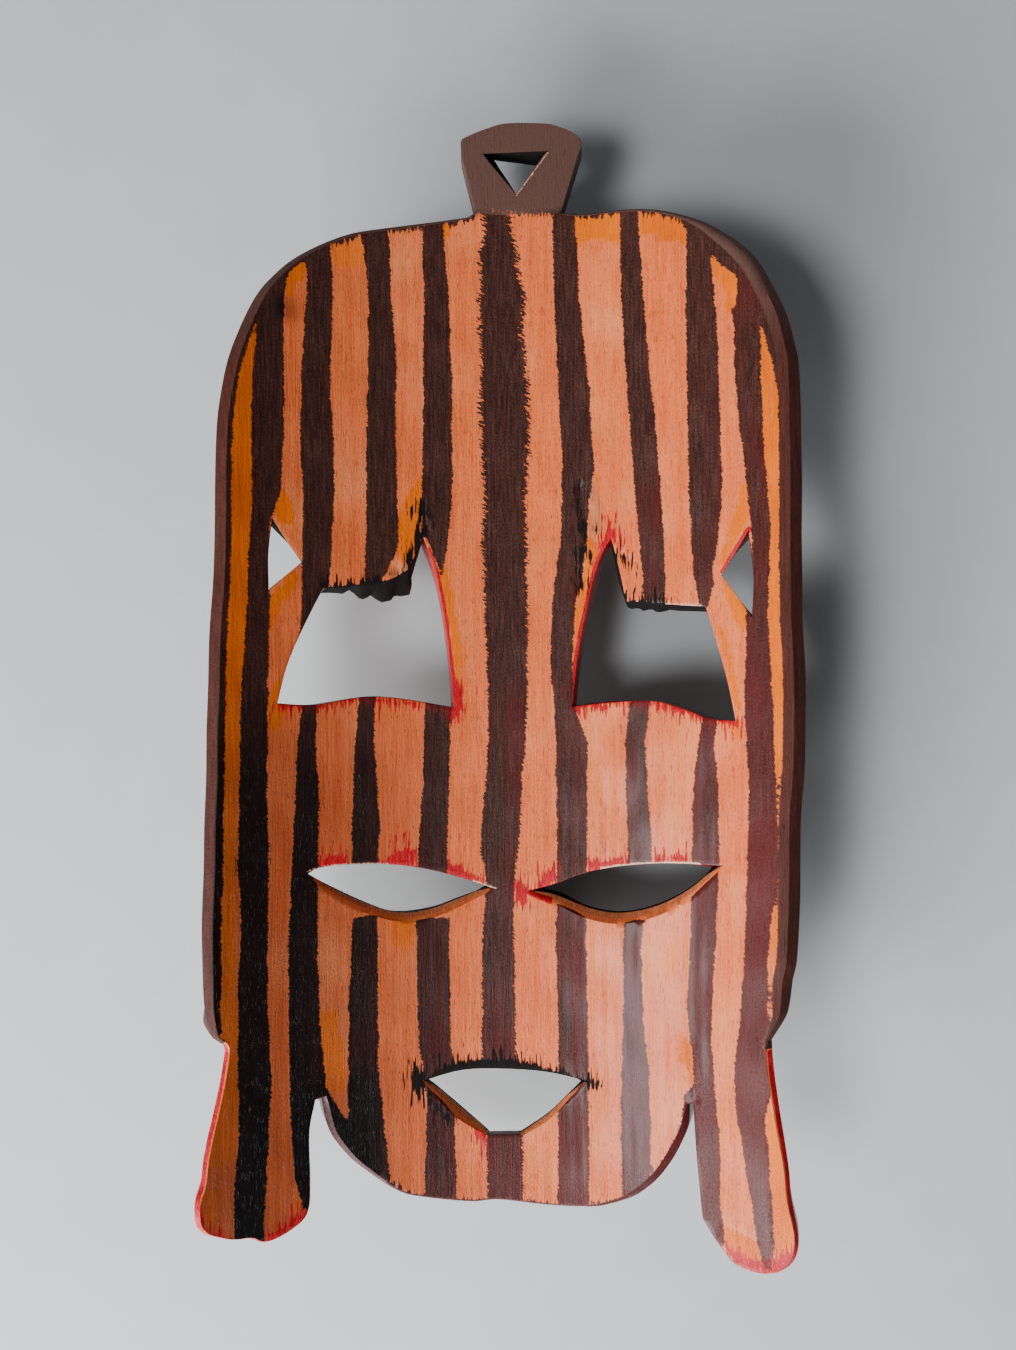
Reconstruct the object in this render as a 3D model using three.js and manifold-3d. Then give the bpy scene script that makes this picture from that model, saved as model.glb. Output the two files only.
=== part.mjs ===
// Long wooden face mask, carved in one piece: a hollow, curved board with a hanging loop on top,
// two upper openings, a small opening at each temple, eye slits, a mouth, a chin and two ear
// pendants. It lies on its carved front with the hollow back upwards.
//
// Millimetres, +Z up. +Y runs from the chin to the hanging loop, +X across the face.
// The board is first laid out flat and then bent to a trough:
//   s  arc length across the back surface, y  along the mask,
//   n  depth into the wood, measured from the hollow back towards the carved front.

import * as THREE from "three";
import { mergeVertices } from "three/addons/utils/BufferGeometryUtils.js";
import Module from "manifold-3d";

const wasm = await Module();
wasm.setup();

// Driving dimensions
const HOLLOW_RADIUS = 120; // radius of the hollow across the face
const HOLLOW_FLOOR = 30; // height of the lowest line of the hollow above the rest plane
const END_RISE = 6; // rise of that line towards both ends
const END_RISE_AT = 150; // distance from the middle where the rise is reached
const BOARD = 10; // thickness of the plain board
const PENDANT = 5.5; // thickness of the ear pendants
const EYE_DEPTH = 16; // depth at which the eye slits reach their front outline
const MOUTH_DEPTH = 17; // the same for the mouth
const LOOP_DEPTH = 11.5; // depth of the loop's front
const LOOP_BACK_HEIGHT = 35; // height of the loop's planed back
const LOOP_BACK_FROM = 137.2; // where the planed back begins
const FRAME_WIDTH = 13; // raised band along the edge of the crown
const FRAME_RAISE = 2.5;
const BACK_EDGE = 1; // bevel of the outer edge at the back
const BACK_EDGE_LEFT = 1.8; // the same along the left side of the crown
const BACK_EDGE_RIGHT = 4.4; // and along its right side
const BACK_EDGE_DEPTH = 3;
const LEAN = 1; // how far the edge leans in below that bevel
const LEAN_SIDES = 3.6; // along both sides of the crown
const FRONT_EDGE = 2.2; // bevel of the outer edge at the front
const FRONT_EDGE_FROM = 8;
const FRONT_EDGE_TO = 13;
const TOOL_WAVE = 0.12; // unevenness of the hand-cut back
const GRID = 7.4; // spacing of the surface grid
const GRID_LEFT = -95.5; // a column of it runs along the bridge of the nose
const GRID_LOW = -170.5;
const EDGE_STEP = 6; // spacing of points along the outlines
const CENTRE_X = 1.4; // moves the middle of the mask to the origin
const CENTRE_Y = 0.21;

// Outline of the board, counter-clockwise from the left foot of the loop
const CROWN_LEFT = [[-9.8, 138.2], [-11.6, 136.4], [-17.6, 135.2], [-35.9, 131.2], [-48.5, 127.3],
  [-61.1, 119.8], [-68.8, 112.6], [-74.4, 104.8], [-80.6, 90.6], [-83.6, 78.2], [-85.3, 64.3],
  [-86.1, 31], [-87.6, 7.6], [-88.6, -35.7], [-89.2, -66.4], [-89, -80.7], [-88.2, -92.2],
  [-86.4, -98.7]];
const PENDANT_LEFT = [[-83.4, -101.2], [-82.9, -103.5], [-84.2, -112], [-88, -128.5],
  [-89, -136.3], [-90.5, -140.6], [-90.2, -145.9], [-88.4, -148.9], [-85.8, -150.9],
  [-80.5, -153.5], [-75.1, -154.7], [-71.4, -156.8], [-66.3, -156.6], [-60.4, -154.1],
  [-58.3, -150.6], [-58, -143.3], [-58.5, -130], [-56.8, -121.7]];
const CHIN = [[-54.9, -121.8], [-52.4, -131.3], [-47.4, -138.7], [-42.5, -143.6], [-33.1, -150.7],
  [-25.4, -153.6], [-11.3, -155.9], [-2.8, -155.6], [11, -156.8], [21, -156.7], [27.8, -156],
  [36, -153], [41.1, -149.2], [45.2, -144.7], [49.4, -138.1], [52.9, -129.9], [53.4, -123.7]];
const PENDANT_RIGHT = [[54.6, -123.2], [56.7, -151], [58.3, -155.7], [63.9, -162.4], [67, -164.3],
  [72.6, -164.5], [77.4, -163.2], [81.5, -159.8], [83.7, -155.5], [84, -150.4], [82.2, -141.9],
  [81.4, -133.2], [78.3, -113.2], [77.4, -103]];
const CROWN_RIGHT = [[77.1, -101.5], [80.2, -95.8], [81.4, -92.3], [82.4, -84.5], [83.7, -78],
  [84.6, -60], [84.9, -40.5], [86, -26.3], [86.4, -3], [85.4, 21.1], [85, 60.5], [84.2, 83.8],
  [82.9, 91.4], [79.8, 101.9], [73.3, 115.2], [67.9, 121.7], [63, 125.8], [56.3, 130.3],
  [45.5, 134.8], [36.1, 136.4], [21.4, 136.7], [15.6, 137.4]];
const LOOP_TOP = [[21.4, 157], [21.2, 159.3], [18.5, 161.7], [13.6, 163.5], [10.9, 164],
  [0, 164.1], [-6, 162.6], [-12.4, 160], [-13.9, 158.7], [-13.8, 154.8]];

// Openings: the outline at the back and the outline at the front, point for point
const LOOP_HOLE = {
  depth: LOOP_DEPTH,
  back: [
    [[-8.3, 155.2], [2.4, 142.5]],
    [[2.4, 142.5], [12.5, 156.1]],
    [[12.5, 156.1], [-8.3, 155.2]],
  ],
  front: [
    [[-3.6, 158], [2.6, 147.6]],
    [[2.6, 147.6], [7.9, 156.2]],
    [[7.9, 156.2], [-3.6, 158]],
  ],
};
const UPPER_LEFT = {
  depth: BOARD,
  back: [
    [[-25.5, 42], [-27.6, 37], [-30, 31.6]],
    [[-30, 31.6], [-38.5, 27.6], [-47, 26.4], [-55.7, 25.4]],
    [[-55.7, 25.4], [-61.7, 13.6], [-66.5, 2.6], [-69.3, -8.2]],
    [[-69.3, -8.2], [-58, -8.8], [-42.6, -6.6], [-30, -7.6], [-16.2, -10.2]],
    [[-16.2, -10.2], [-16.9, 0], [-19.3, 18.9], [-22, 32], [-25.5, 42]],
  ],
  front: [
    [[-24.6, 41.6], [-26.6, 34], [-28.6, 26.6]],
    [[-28.6, 26.6], [-36.6, 25.4], [-46.2, 25.4], [-54.6, 24.6]],
    [[-54.6, 24.6], [-61.4, 13.4], [-66.6, 2.2], [-69.6, -9.2]],
    [[-69.6, -9.2], [-58, -8.9], [-42.6, -6.9], [-30, -7.6], [-16.4, -9.8]],
    [[-16.4, -9.8], [-16.9, 0], [-19.2, 18.9], [-21.8, 31.6], [-24.6, 41.6]],
  ],
};
const UPPER_RIGHT = {
  depth: BOARD,
  back: [
    [[31.2, 41.5], [28, 35.8], [25.5, 28.2], [23, 17.1], [20.7, 4.9], [19.1, -9.8]],
    [[19.1, -9.8], [29.6, -8.5], [43, -7.8], [51.8, -9.8], [60, -12.6], [68.5, -13.3]],
    [[68.5, -13.3], [65.8, -1.1], [61.7, 13.2], [59.2, 20]],
    [[59.2, 20], [47.5, 21], [35.8, 22]],
    [[35.8, 22], [34.1, 30], [31.2, 41.5]],
  ],
  front: [
    [[29.5, 40.4], [27.2, 35.6], [26, 28], [23.2, 17.2], [21.2, 4.8], [19.7, -9.4]],
    [[19.7, -9.4], [29.6, -8.1], [43, -7.6], [51.8, -9.9], [60, -12.9], [68.9, -13.6]],
    [[68.9, -13.6], [65.9, -1.4], [61.4, 12.4], [58.4, 18.6]],
    [[58.4, 18.6], [46.8, 19.8], [34.3, 20.8]],
    [[34.3, 20.8], [31.8, 28.8], [29.5, 40.4]],
  ],
};
const TEMPLE_LEFT = {
  depth: BOARD,
  back: [
    [[-70.6, 44.6], [-71.8, 34], [-71.8, 23.7]],
    [[-71.8, 23.7], [-61.6, 32.3]],
    [[-61.6, 32.3], [-70.6, 44.6]],
  ],
  front: [
    [[-69.6, 45.4], [-72, 34], [-70.4, 22.6]],
    [[-70.4, 22.6], [-55.8, 32.4]],
    [[-55.8, 32.4], [-69.6, 45.4]],
  ],
};
const TEMPLE_RIGHT = {
  depth: BOARD,
  back: [
    [[71.9, 41], [63.7, 28.5]],
    [[63.7, 28.5], [73.1, 16]],
    [[73.1, 16], [73.6, 28], [71.9, 41]],
  ],
  front: [
    [[71, 42], [57.8, 28.4]],
    [[57.8, 28.4], [72.4, 14.8]],
    [[72.4, 14.8], [73.8, 28], [71, 42]],
  ],
};
const EYE_LEFT = {
  depth: EYE_DEPTH,
  back: [
    [[-61.1, -56.6], [-52, -64.4], [-41, -70.6], [-31, -73.3], [-21.5, -72.2], [-12.6, -68.6],
      [-3.8, -64.2]],
    [[-3.8, -64.2], [-15, -60.4], [-28, -57], [-41, -55.4], [-54, -55.2], [-61.1, -56.6]],
  ],
  front: [
    [[-56.3, -60], [-48.1, -65.1], [-38.7, -70.7], [-31.8, -73.4], [-21.8, -72.7], [-13.7, -69.9],
      [-5.3, -66.9]],
    [[-5.3, -66.9], [-14, -62.3], [-26, -58.8], [-37.9, -56.9], [-50, -57.2], [-56.3, -60]],
  ],
};
const EYE_RIGHT = {
  depth: EYE_DEPTH,
  back: [
    [[5.2, -64.9], [14, -68.6], [23.5, -72.7], [34.4, -73.7], [46, -70], [57, -62.6],
      [64.4, -54.2]],
    [[64.4, -54.2], [48, -54.8], [33, -56.6], [22, -59.4], [14, -62.6], [5.2, -64.9]],
  ],
  front: [
    [[10.6, -67.4], [16.2, -68.8], [22.3, -72.3], [31.2, -73.5], [40.1, -71.2], [50, -65.1],
      [56.8, -57.8]],
    [[56.8, -57.8], [42.6, -57.2], [31.3, -58.5], [21.2, -61.1], [14.5, -64.5], [10.6, -67.4]],
  ],
};
const MOUTH = {
  depth: MOUTH_DEPTH,
  back: [
    [[23.9, -120.1], [12, -118.2], [-1, -117.4], [-14, -117.5], [-25.8, -120]],
    [[-25.8, -120], [-15.9, -131], [-6, -136.9]],
    [[-6, -136.9], [4.6, -136.9]],
    [[4.6, -136.9], [12.9, -131.6], [23.9, -120.1]],
  ],
  front: [
    [[20.1, -126.5], [11, -121.2], [-0.8, -120.2], [-13, -120.4], [-22, -125.7]],
    [[-22, -125.7], [-14.6, -133.1], [-4.9, -142.8]],
    [[-4.9, -142.8], [3.6, -142.8]],
    [[3.6, -142.8], [12.1, -136], [20.1, -126.5]],
  ],
};

// 0 before "from", 1 after "to", smooth between them, in either order
function smooth(from, to, value) {
  const t = THREE.MathUtils.clamp((value - from) / (to - from), 0, 1);
  return t * t * (3 - 2 * t);
}

// How many pieces each run of an outline is cut into
function counts(runs, step) {
  return runs.map((run) => {
    const length = new THREE.SplineCurve(run.map(([s, y]) => new THREE.Vector2(s, y))).getLength();
    return Math.max(1, Math.round(length / step));
  });
}

// One closed outline from runs of points, each run smooth in itself
function ring(runs, pieces) {
  const points = [];
  runs.forEach((run, index) => {
    const curve = new THREE.SplineCurve(run.map(([s, y]) => new THREE.Vector2(s, y)));
    curve.getSpacedPoints(pieces[index]).forEach((point) => {
      const last = points[points.length - 1];
      if (!last || last.distanceTo(point) > 0.01) points.push(point);
    });
  });
  if (points[0].distanceTo(points[points.length - 1]) < 0.01) points.pop();
  return points;
}

// The same outline moved inwards, point for point, by a distance set for each point
function inset(points, distance) {
  return points.map((point, index) => {
    const before = points[(index + points.length - 1) % points.length];
    const after = points[(index + 1) % points.length];
    const one = new THREE.Vector2(before.y - point.y, point.x - before.x).normalize();
    const two = new THREE.Vector2(point.y - after.y, after.x - point.x).normalize();
    const normal = one.clone().add(two).normalize();
    const reach = Math.min(1.4, 1 / Math.max(0.3, normal.dot(one)));
    return point.clone().addScaledVector(normal, distance(point) * reach);
  });
}

// Closed solid from numbered corners and triangles
function solid(corners, triangles) {
  return new wasm.Manifold(new wasm.Mesh({
    numProp: 3,
    vertProperties: new Float32Array(corners),
    triVerts: new Uint32Array(triangles),
  }));
}

// Solid between outlines that lie at increasing depth, all with the same number of points
function loft(levels) {
  const count = levels[0].points.length;
  const corners = [];
  const triangles = [];
  levels.forEach(({ depth, points }) => {
    points.forEach((point) => corners.push(point.x, point.y, -depth));
  });
  for (let level = 0; level + 1 < levels.length; level += 1) {
    for (let i = 0; i < count; i += 1) {
      const a = level * count + i;
      const b = level * count + ((i + 1) % count);
      triangles.push(a, a + count, b, b, a + count, b + count);
    }
  }
  const bottom = (levels.length - 1) * count;
  THREE.ShapeUtils.triangulateShape(levels[0].points, []).forEach(([a, b, c]) => {
    triangles.push(a, b, c);
  });
  THREE.ShapeUtils.triangulateShape(levels[levels.length - 1].points, []).forEach(([a, b, c]) => {
    triangles.push(bottom + a, bottom + c, bottom + b);
  });
  return solid(corners, triangles);
}

const crown = [CROWN_LEFT, PENDANT_LEFT, CHIN, PENDANT_RIGHT, CROWN_RIGHT, LOOP_TOP];
const outline = ring(crown, counts(crown, EDGE_STEP));

// Distance from a point to the outline of the board
function edgeDistance(s, y) {
  let nearest = Infinity;
  outline.forEach((start, index) => {
    const end = outline[(index + 1) % outline.length];
    const across = end.x - start.x;
    const up = end.y - start.y;
    const t = THREE.MathUtils.clamp(
      ((s - start.x) * across + (y - start.y) * up) / (across * across + up * up), 0, 1);
    nearest = Math.min(nearest, Math.hypot(s - start.x - t * across, y - start.y - t * up));
  });
  return nearest;
}

// Round mound: 1 in the middle, 0 from the given radii outwards
function mound(s, y, centreS, centreY, radiusS, radiusY, power) {
  const far = ((s - centreS) / radiusS) ** 2 + ((y - centreY) / radiusY) ** 2;
  return far < 1 ? (1 - far) ** power : 0;
}

// Soft swelling: 1 in the middle, fading outwards
function swell(s, y, centreS, centreY, radiusS, radiusY) {
  return Math.exp(-(((s - centreS) / radiusS) ** 2) - ((y - centreY) / radiusY) ** 2);
}

// Depth of the carved front below the hollow back, at a place on the board
function front(s, y) {
  const loop = smooth(133, 139, y) * smooth(24, 18, Math.abs(s - 3));
  const aboveNotch = smooth(-104, -98, y) * (1 - loop);
  const band = FRAME_RAISE * smooth(FRAME_WIDTH + 2, FRAME_WIDTH - 1, edgeDistance(s, y));
  const side = Math.abs(s);
  let depth = BOARD + band * aboveNotch + (LOOP_DEPTH - BOARD) * loop;
  // forehead dome, and the ridge that runs down from it between the upper openings
  depth += 26 * mound(s, y, 0.7, 80, 62, 56, 1.4);
  depth += 8 * swell(s, 0, 0.7, 0, 11, 1) * smooth(-44, -26, y) * smooth(78, 50, y);
  // nose, narrow between the eyes
  const down = smooth(-58, -86, y);
  const half = 7 + 8.5 * down;
  const section = Math.max(0, 1 - (Math.abs(s - 0.7) / half) ** 2.5) ** 0.7;
  depth += (6 + 20.5 * down ** 1.2) * section * smooth(-102, -92, y) * smooth(-30, -46, y);
  // brows, eyelids, cheeks, lips and chin
  const brow = -37 + 5 * (1 - ((side - 34) / 30) ** 2);
  depth += 4.5 * Math.exp(-(((y - brow) / 7) ** 2)) * smooth(6, 18, side) * smooth(70, 54, side);
  depth += 4 * swell(s, y, -33, -64.5, 30, 13) + 4 * swell(s, y, 34, -64.5, 30, 13);
  depth += 3.5 * swell(side, y, 44, -93, 20, 16);
  depth += 6 * swell(s, y, -1, -126, 30, 17);
  depth += 3 * swell(s, y, 0, -147, 26, 8);
  // ear pendants
  const pendant = smooth(-100, -103.5, y) * smooth(52, 58, side);
  return depth + (PENDANT - depth) * pendant;
}

// The hollow back, slightly uneven from the gouge
function back(s, y) {
  return TOOL_WAVE * (Math.sin(0.31 * s + 0.5) * Math.cos(0.23 * y)
    + 0.6 * Math.sin(0.11 * s - 0.27 * y));
}

// Blank of the board with the carved front, laid out flat
function blank() {
  const columns = Math.ceil((-2 * GRID_LEFT) / GRID);
  const rows = Math.ceil((-2 * GRID_LOW) / GRID);
  const width = columns + 1;
  const corners = [];
  const triangles = [];
  [back, front].forEach((face) => {
    for (let j = 0; j <= rows; j += 1) {
      for (let i = 0; i <= columns; i += 1) {
        const s = GRID_LEFT + i * GRID;
        const y = GRID_LOW + j * GRID;
        corners.push(s, y, -face(s, y));
      }
    }
  });
  const under = width * (rows + 1);
  for (let j = 0; j < rows; j += 1) {
    for (let i = 0; i < columns; i += 1) {
      const a = j * width + i;
      const [b, c, d] = [a + 1, a + width + 1, a + width];
      const halves = (i + j) % 2 ? [[a, b, c], [a, c, d]] : [[a, b, d], [b, c, d]];
      halves.forEach(([p, q, r]) => {
        triangles.push(p, q, r, under + p, under + r, under + q);
      });
    }
  }
  const rim = [];
  for (let i = 0; i < columns; i += 1) rim.push(i);
  for (let j = 0; j < rows; j += 1) rim.push(j * width + columns);
  for (let i = columns; i > 0; i -= 1) rim.push(rows * width + i);
  for (let j = rows; j > 0; j -= 1) rim.push(j * width);
  rim.forEach((a, index) => {
    const b = rim[(index + 1) % rim.length];
    triangles.push(a, under + a, b, b, under + a, under + b);
  });
  return solid(corners, triangles);
}

// 1 along the sides of the crown, 0 elsewhere
function crownSide(point) {
  return smooth(60, 74, Math.abs(point.x)) * smooth(122, 104, point.y) * smooth(-97, -86, point.y);
}

// The outer edge: bevelled at the back, leaning in, bevelled again at the front
function board() {
  const bevel = (point) => {
    const wide = point.x < 0 ? BACK_EDGE_LEFT : BACK_EDGE_RIGHT;
    return BACK_EDGE + (wide - BACK_EDGE) * crownSide(point);
  };
  const lean = (point) => LEAN + (LEAN_SIDES - LEAN) * crownSide(point);
  const reached = (FRONT_EDGE_FROM - BACK_EDGE_DEPTH) / (FRONT_EDGE_TO - BACK_EDGE_DEPTH);
  const atBack = inset(outline, bevel);
  const atFront = inset(outline, (point) => lean(point) + FRONT_EDGE);
  return blank().intersect(loft([
    { depth: -3, points: atBack },
    { depth: 0, points: atBack },
    { depth: BACK_EDGE_DEPTH, points: outline },
    { depth: FRONT_EDGE_FROM, points: inset(outline, (point) => lean(point) * reached) },
    { depth: FRONT_EDGE_TO, points: atFront },
    { depth: 60, points: atFront },
  ]));
}

// An opening, cut straight between its outlines and past both faces
function opening(hole) {
  const pieces = counts(hole.back, EDGE_STEP);
  const atBack = ring(hole.back, pieces);
  const atFront = ring(hole.front, pieces);
  return loft([
    { depth: -3, points: atBack },
    { depth: 0, points: atBack },
    { depth: hole.depth, points: atFront },
    { depth: 60, points: atFront },
  ]);
}

// The flat board bent to its trough
function bend(flat) {
  const mesh = flat.getMesh();
  const corners = [];
  for (let i = 0; i < mesh.vertProperties.length; i += 3) {
    const s = mesh.vertProperties[i];
    const y = mesh.vertProperties[i + 1];
    const reach = HOLLOW_RADIUS - mesh.vertProperties[i + 2];
    const angle = s / HOLLOW_RADIUS;
    const rise = END_RISE * (y / END_RISE_AT) ** 2;
    corners.push(reach * Math.sin(angle), y,
      HOLLOW_FLOOR + rise + HOLLOW_RADIUS - reach * Math.cos(angle));
  }
  return solid(corners, mesh.triVerts);
}

// Block used to plane a face flat
function block(sizeX, sizeY, sizeZ, x, y, z) {
  const box = new THREE.BoxGeometry(sizeX, sizeY, sizeZ).translate(x, y, z);
  box.deleteAttribute("normal");
  box.deleteAttribute("uv");
  const merged = mergeVertices(box);
  return solid(merged.attributes.position.array, merged.index.array);
}

const openings = [LOOP_HOLE, UPPER_LEFT, UPPER_RIGHT, TEMPLE_LEFT, TEMPLE_RIGHT, EYE_LEFT,
  EYE_RIGHT, MOUTH];
const carved = openings.reduce((wood, hole) => wood.subtract(opening(hole)), board());

// The loop's back is planed flat, and the dome and the nose end in the plane the mask lies on
const trimmed = bend(carved)
  .subtract(block(60, 40, 40, 0, LOOP_BACK_FROM + 20, LOOP_BACK_HEIGHT + 20))
  .intersect(block(300, 400, 200, 0, 0, 100));

const result = trimmed.getMesh();
const geometry = new THREE.BufferGeometry();
geometry.setAttribute("position", new THREE.BufferAttribute(result.vertProperties, 3));
geometry.setIndex(new THREE.BufferAttribute(result.triVerts, 1));
geometry.translate(CENTRE_X, CENTRE_Y, 0);
geometry.computeVertexNormals();

const wood = new THREE.MeshStandardMaterial({ color: 0x4a2c22, roughness: 0.55, metalness: 0 });
const mask = new THREE.Mesh(geometry, wood);
mask.name = "mask";

const part = new THREE.Group();
part.add(mask);

export default part;
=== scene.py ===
"""Long wooden face mask, carved in one piece, lying on its carved front with the hollow back up.

The back is painted with dark stripes over a peach ground, with orange and red brushed past the
edges from the front. The board is laid out flat and then bent to a trough, as in the part:
s is the arc length across the back, y runs along the mask and n is the depth into the wood.
Lengths of the wood are in millimetres until the mesh is made; Blender's are in metres.
"""

import math
from types import SimpleNamespace

import bpy
import numpy as np
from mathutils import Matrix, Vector
from mathutils.geometry import delaunay_2d_cdt


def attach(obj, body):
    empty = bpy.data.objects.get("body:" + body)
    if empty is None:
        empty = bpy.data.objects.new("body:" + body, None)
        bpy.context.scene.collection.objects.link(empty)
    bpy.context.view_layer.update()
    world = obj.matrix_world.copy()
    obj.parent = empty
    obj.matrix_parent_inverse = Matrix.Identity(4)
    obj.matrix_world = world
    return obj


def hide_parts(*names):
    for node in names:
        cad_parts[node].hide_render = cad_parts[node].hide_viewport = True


bl_info = {
    "name": "Striped wooden mask",
    "version": (1, 0, 0),
    "blender": (4, 5, 0),
    "location": "3D View > Sidebar > Mask",
    "description": "Carves and paints a long wooden mask around its packed solid",
    "category": "Add Mesh",
}

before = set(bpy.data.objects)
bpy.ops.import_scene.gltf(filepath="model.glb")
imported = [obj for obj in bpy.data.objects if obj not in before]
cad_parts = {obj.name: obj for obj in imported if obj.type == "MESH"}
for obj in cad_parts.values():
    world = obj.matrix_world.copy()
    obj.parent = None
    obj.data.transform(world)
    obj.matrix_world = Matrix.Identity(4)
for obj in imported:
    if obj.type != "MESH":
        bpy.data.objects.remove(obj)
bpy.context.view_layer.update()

MM = 0.001

# The bent board, as in the part
HOLLOW_RADIUS = 120.0
HOLLOW_FLOOR = 30.0
END_RISE = 6.0
END_RISE_AT = 150.0
BOARD = 10.0
PENDANT = 5.5
EYE_DEPTH = 16.0
MOUTH_DEPTH = 17.0
LOOP_DEPTH = 11.5
LOOP_BACK_HEIGHT = 35.0
LOOP_BACK_FROM = 137.2
LOOP_MIDDLE = 3.0
FRAME_WIDTH = 13.0
FRAME_RAISE = 2.5
TOOL_WAVE = 0.12  # unevenness of the hand-cut back and edge
RIB = 0.05  # height of the fine ribs along the grain
FRONT_WAVE = 0.1  # unevenness of the front
FRONT_ARRIS = 0.5  # rounding where the openings meet the front
FRONT_ROUNDS = (0.8, 2.0)  # the same along the outer edge: where the wood is thin, elsewhere
FRONT_COARSER = 1.18  # the step on the front over the step on the back
PLAIN_BEVEL = 0.3  # bevel at the back of an opening where no other is named
PENDANTS_FROM = -101.0  # place along, of the notches where the pendants begin
CENTRE = (1.4, 0.21)  # from the middle of the flat board to the origin

# Forms of the carved front, as in the part; the rims of eyelids and lips are only here
RIDGE = 0.7  # where the bridge of the nose runs
RIDGE_HEIGHT = 8.0
RIDGE_HALF = 11.0
FOREHEAD_HEIGHT = 26.0
FOREHEAD_ALONG = 80.0
FOREHEAD_HALVES = (62.0, 56.0)
NOSE_HEIGHTS = (6.0, 26.5)  # between the eyes, and at the wings
NOSE_HALVES = (7.0, 15.5)
BROW_HEIGHT = 4.5
BROW_HALF = 7.0
BROW_FEET = -37.0  # place along, of both ends of the arch that a brow follows
BROW_ARCH = 5.0  # rise of the arch
BROW_MIDDLE = 34.0  # place across, of its top
BROW_SPAN = 30.0  # from its top to an end
SWELLINGS = (  # height, middle across and along, half width across and along
    (4, -33, -64.5, 30, 13),  # left eye
    (4, 34, -64.5, 30, 13),  # right eye
    (6, -1, -126, 30, 17),  # mouth
    (3, 0, -147, 26, 8),  # chin
)
CHEEK = (3.5, 44, -93, 20, 16)  # the same numbers, for both sides
EYELID = (1.1, 2.2, 1.6)  # height, distance from the slit, half width
LIP = (1.6, 3.0, 2.4)

# Outline of the board, counter-clockwise from the left foot of the loop
CROWN_LEFT = ((-9.8, 138.2), (-11.6, 136.4), (-17.6, 135.2), (-35.9, 131.2), (-48.5, 127.3),
              (-61.1, 119.8), (-68.8, 112.6), (-74.4, 104.8), (-80.6, 90.6), (-83.6, 78.2),
              (-85.3, 64.3), (-86.1, 31), (-87.6, 7.6), (-88.6, -35.7), (-89.2, -66.4),
              (-89, -80.7), (-88.2, -92.2), (-86.4, -98.7))
PENDANT_LEFT = ((-83.4, -101.2), (-82.9, -103.5), (-84.2, -112), (-88, -128.5), (-89, -136.3),
                (-90.5, -140.6), (-90.2, -145.9), (-88.4, -148.9), (-85.8, -150.9),
                (-80.5, -153.5), (-75.1, -154.7), (-71.4, -156.8), (-66.3, -156.6),
                (-60.4, -154.1), (-58.3, -150.6), (-58, -143.3), (-58.5, -130), (-56.8, -121.7))
CHIN = ((-54.9, -121.8), (-52.4, -131.3), (-47.4, -138.7), (-42.5, -143.6), (-33.1, -150.7),
        (-25.4, -153.6), (-11.3, -155.9), (-2.8, -155.6), (11, -156.8), (21, -156.7), (27.8, -156),
        (36, -153), (41.1, -149.2), (45.2, -144.7), (49.4, -138.1), (52.9, -129.9), (53.4, -123.7))
PENDANT_RIGHT = ((54.6, -123.2), (56.7, -151), (58.3, -155.7), (63.9, -162.4), (67, -164.3),
                 (72.6, -164.5), (77.4, -163.2), (81.5, -159.8), (83.7, -155.5), (84, -150.4),
                 (82.2, -141.9), (81.4, -133.2), (78.3, -113.2), (77.4, -103))
CROWN_RIGHT = ((77.1, -101.5), (80.2, -95.8), (81.4, -92.3), (82.4, -84.5), (83.7, -78),
               (84.6, -60), (84.9, -40.5), (86, -26.3), (86.4, -3), (85.4, 21.1), (85, 60.5),
               (84.2, 83.8), (82.9, 91.4), (79.8, 101.9), (73.3, 115.2), (67.9, 121.7),
               (63, 125.8), (56.3, 130.3), (45.5, 134.8), (36.1, 136.4), (21.4, 136.7),
               (15.6, 137.4))
LOOP_TOP = ((21.4, 157), (21.2, 159.3), (18.5, 161.7), (13.6, 163.5), (10.9, 164), (0, 164.1),
            (-6, 162.6), (-12.4, 160), (-13.9, 158.7), (-13.8, 154.8))
OUTLINE = (CROWN_LEFT, PENDANT_LEFT, CHIN, PENDANT_RIGHT, CROWN_RIGHT, LOOP_TOP)
# Numbers of its runs when the straight ones between them are counted too
ON_CROWN_LEFT, ON_PENDANT_LEFT, ON_CHIN, ON_PENDANT_RIGHT, ON_CROWN_RIGHT = 0, 2, 4, 6, 8

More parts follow.
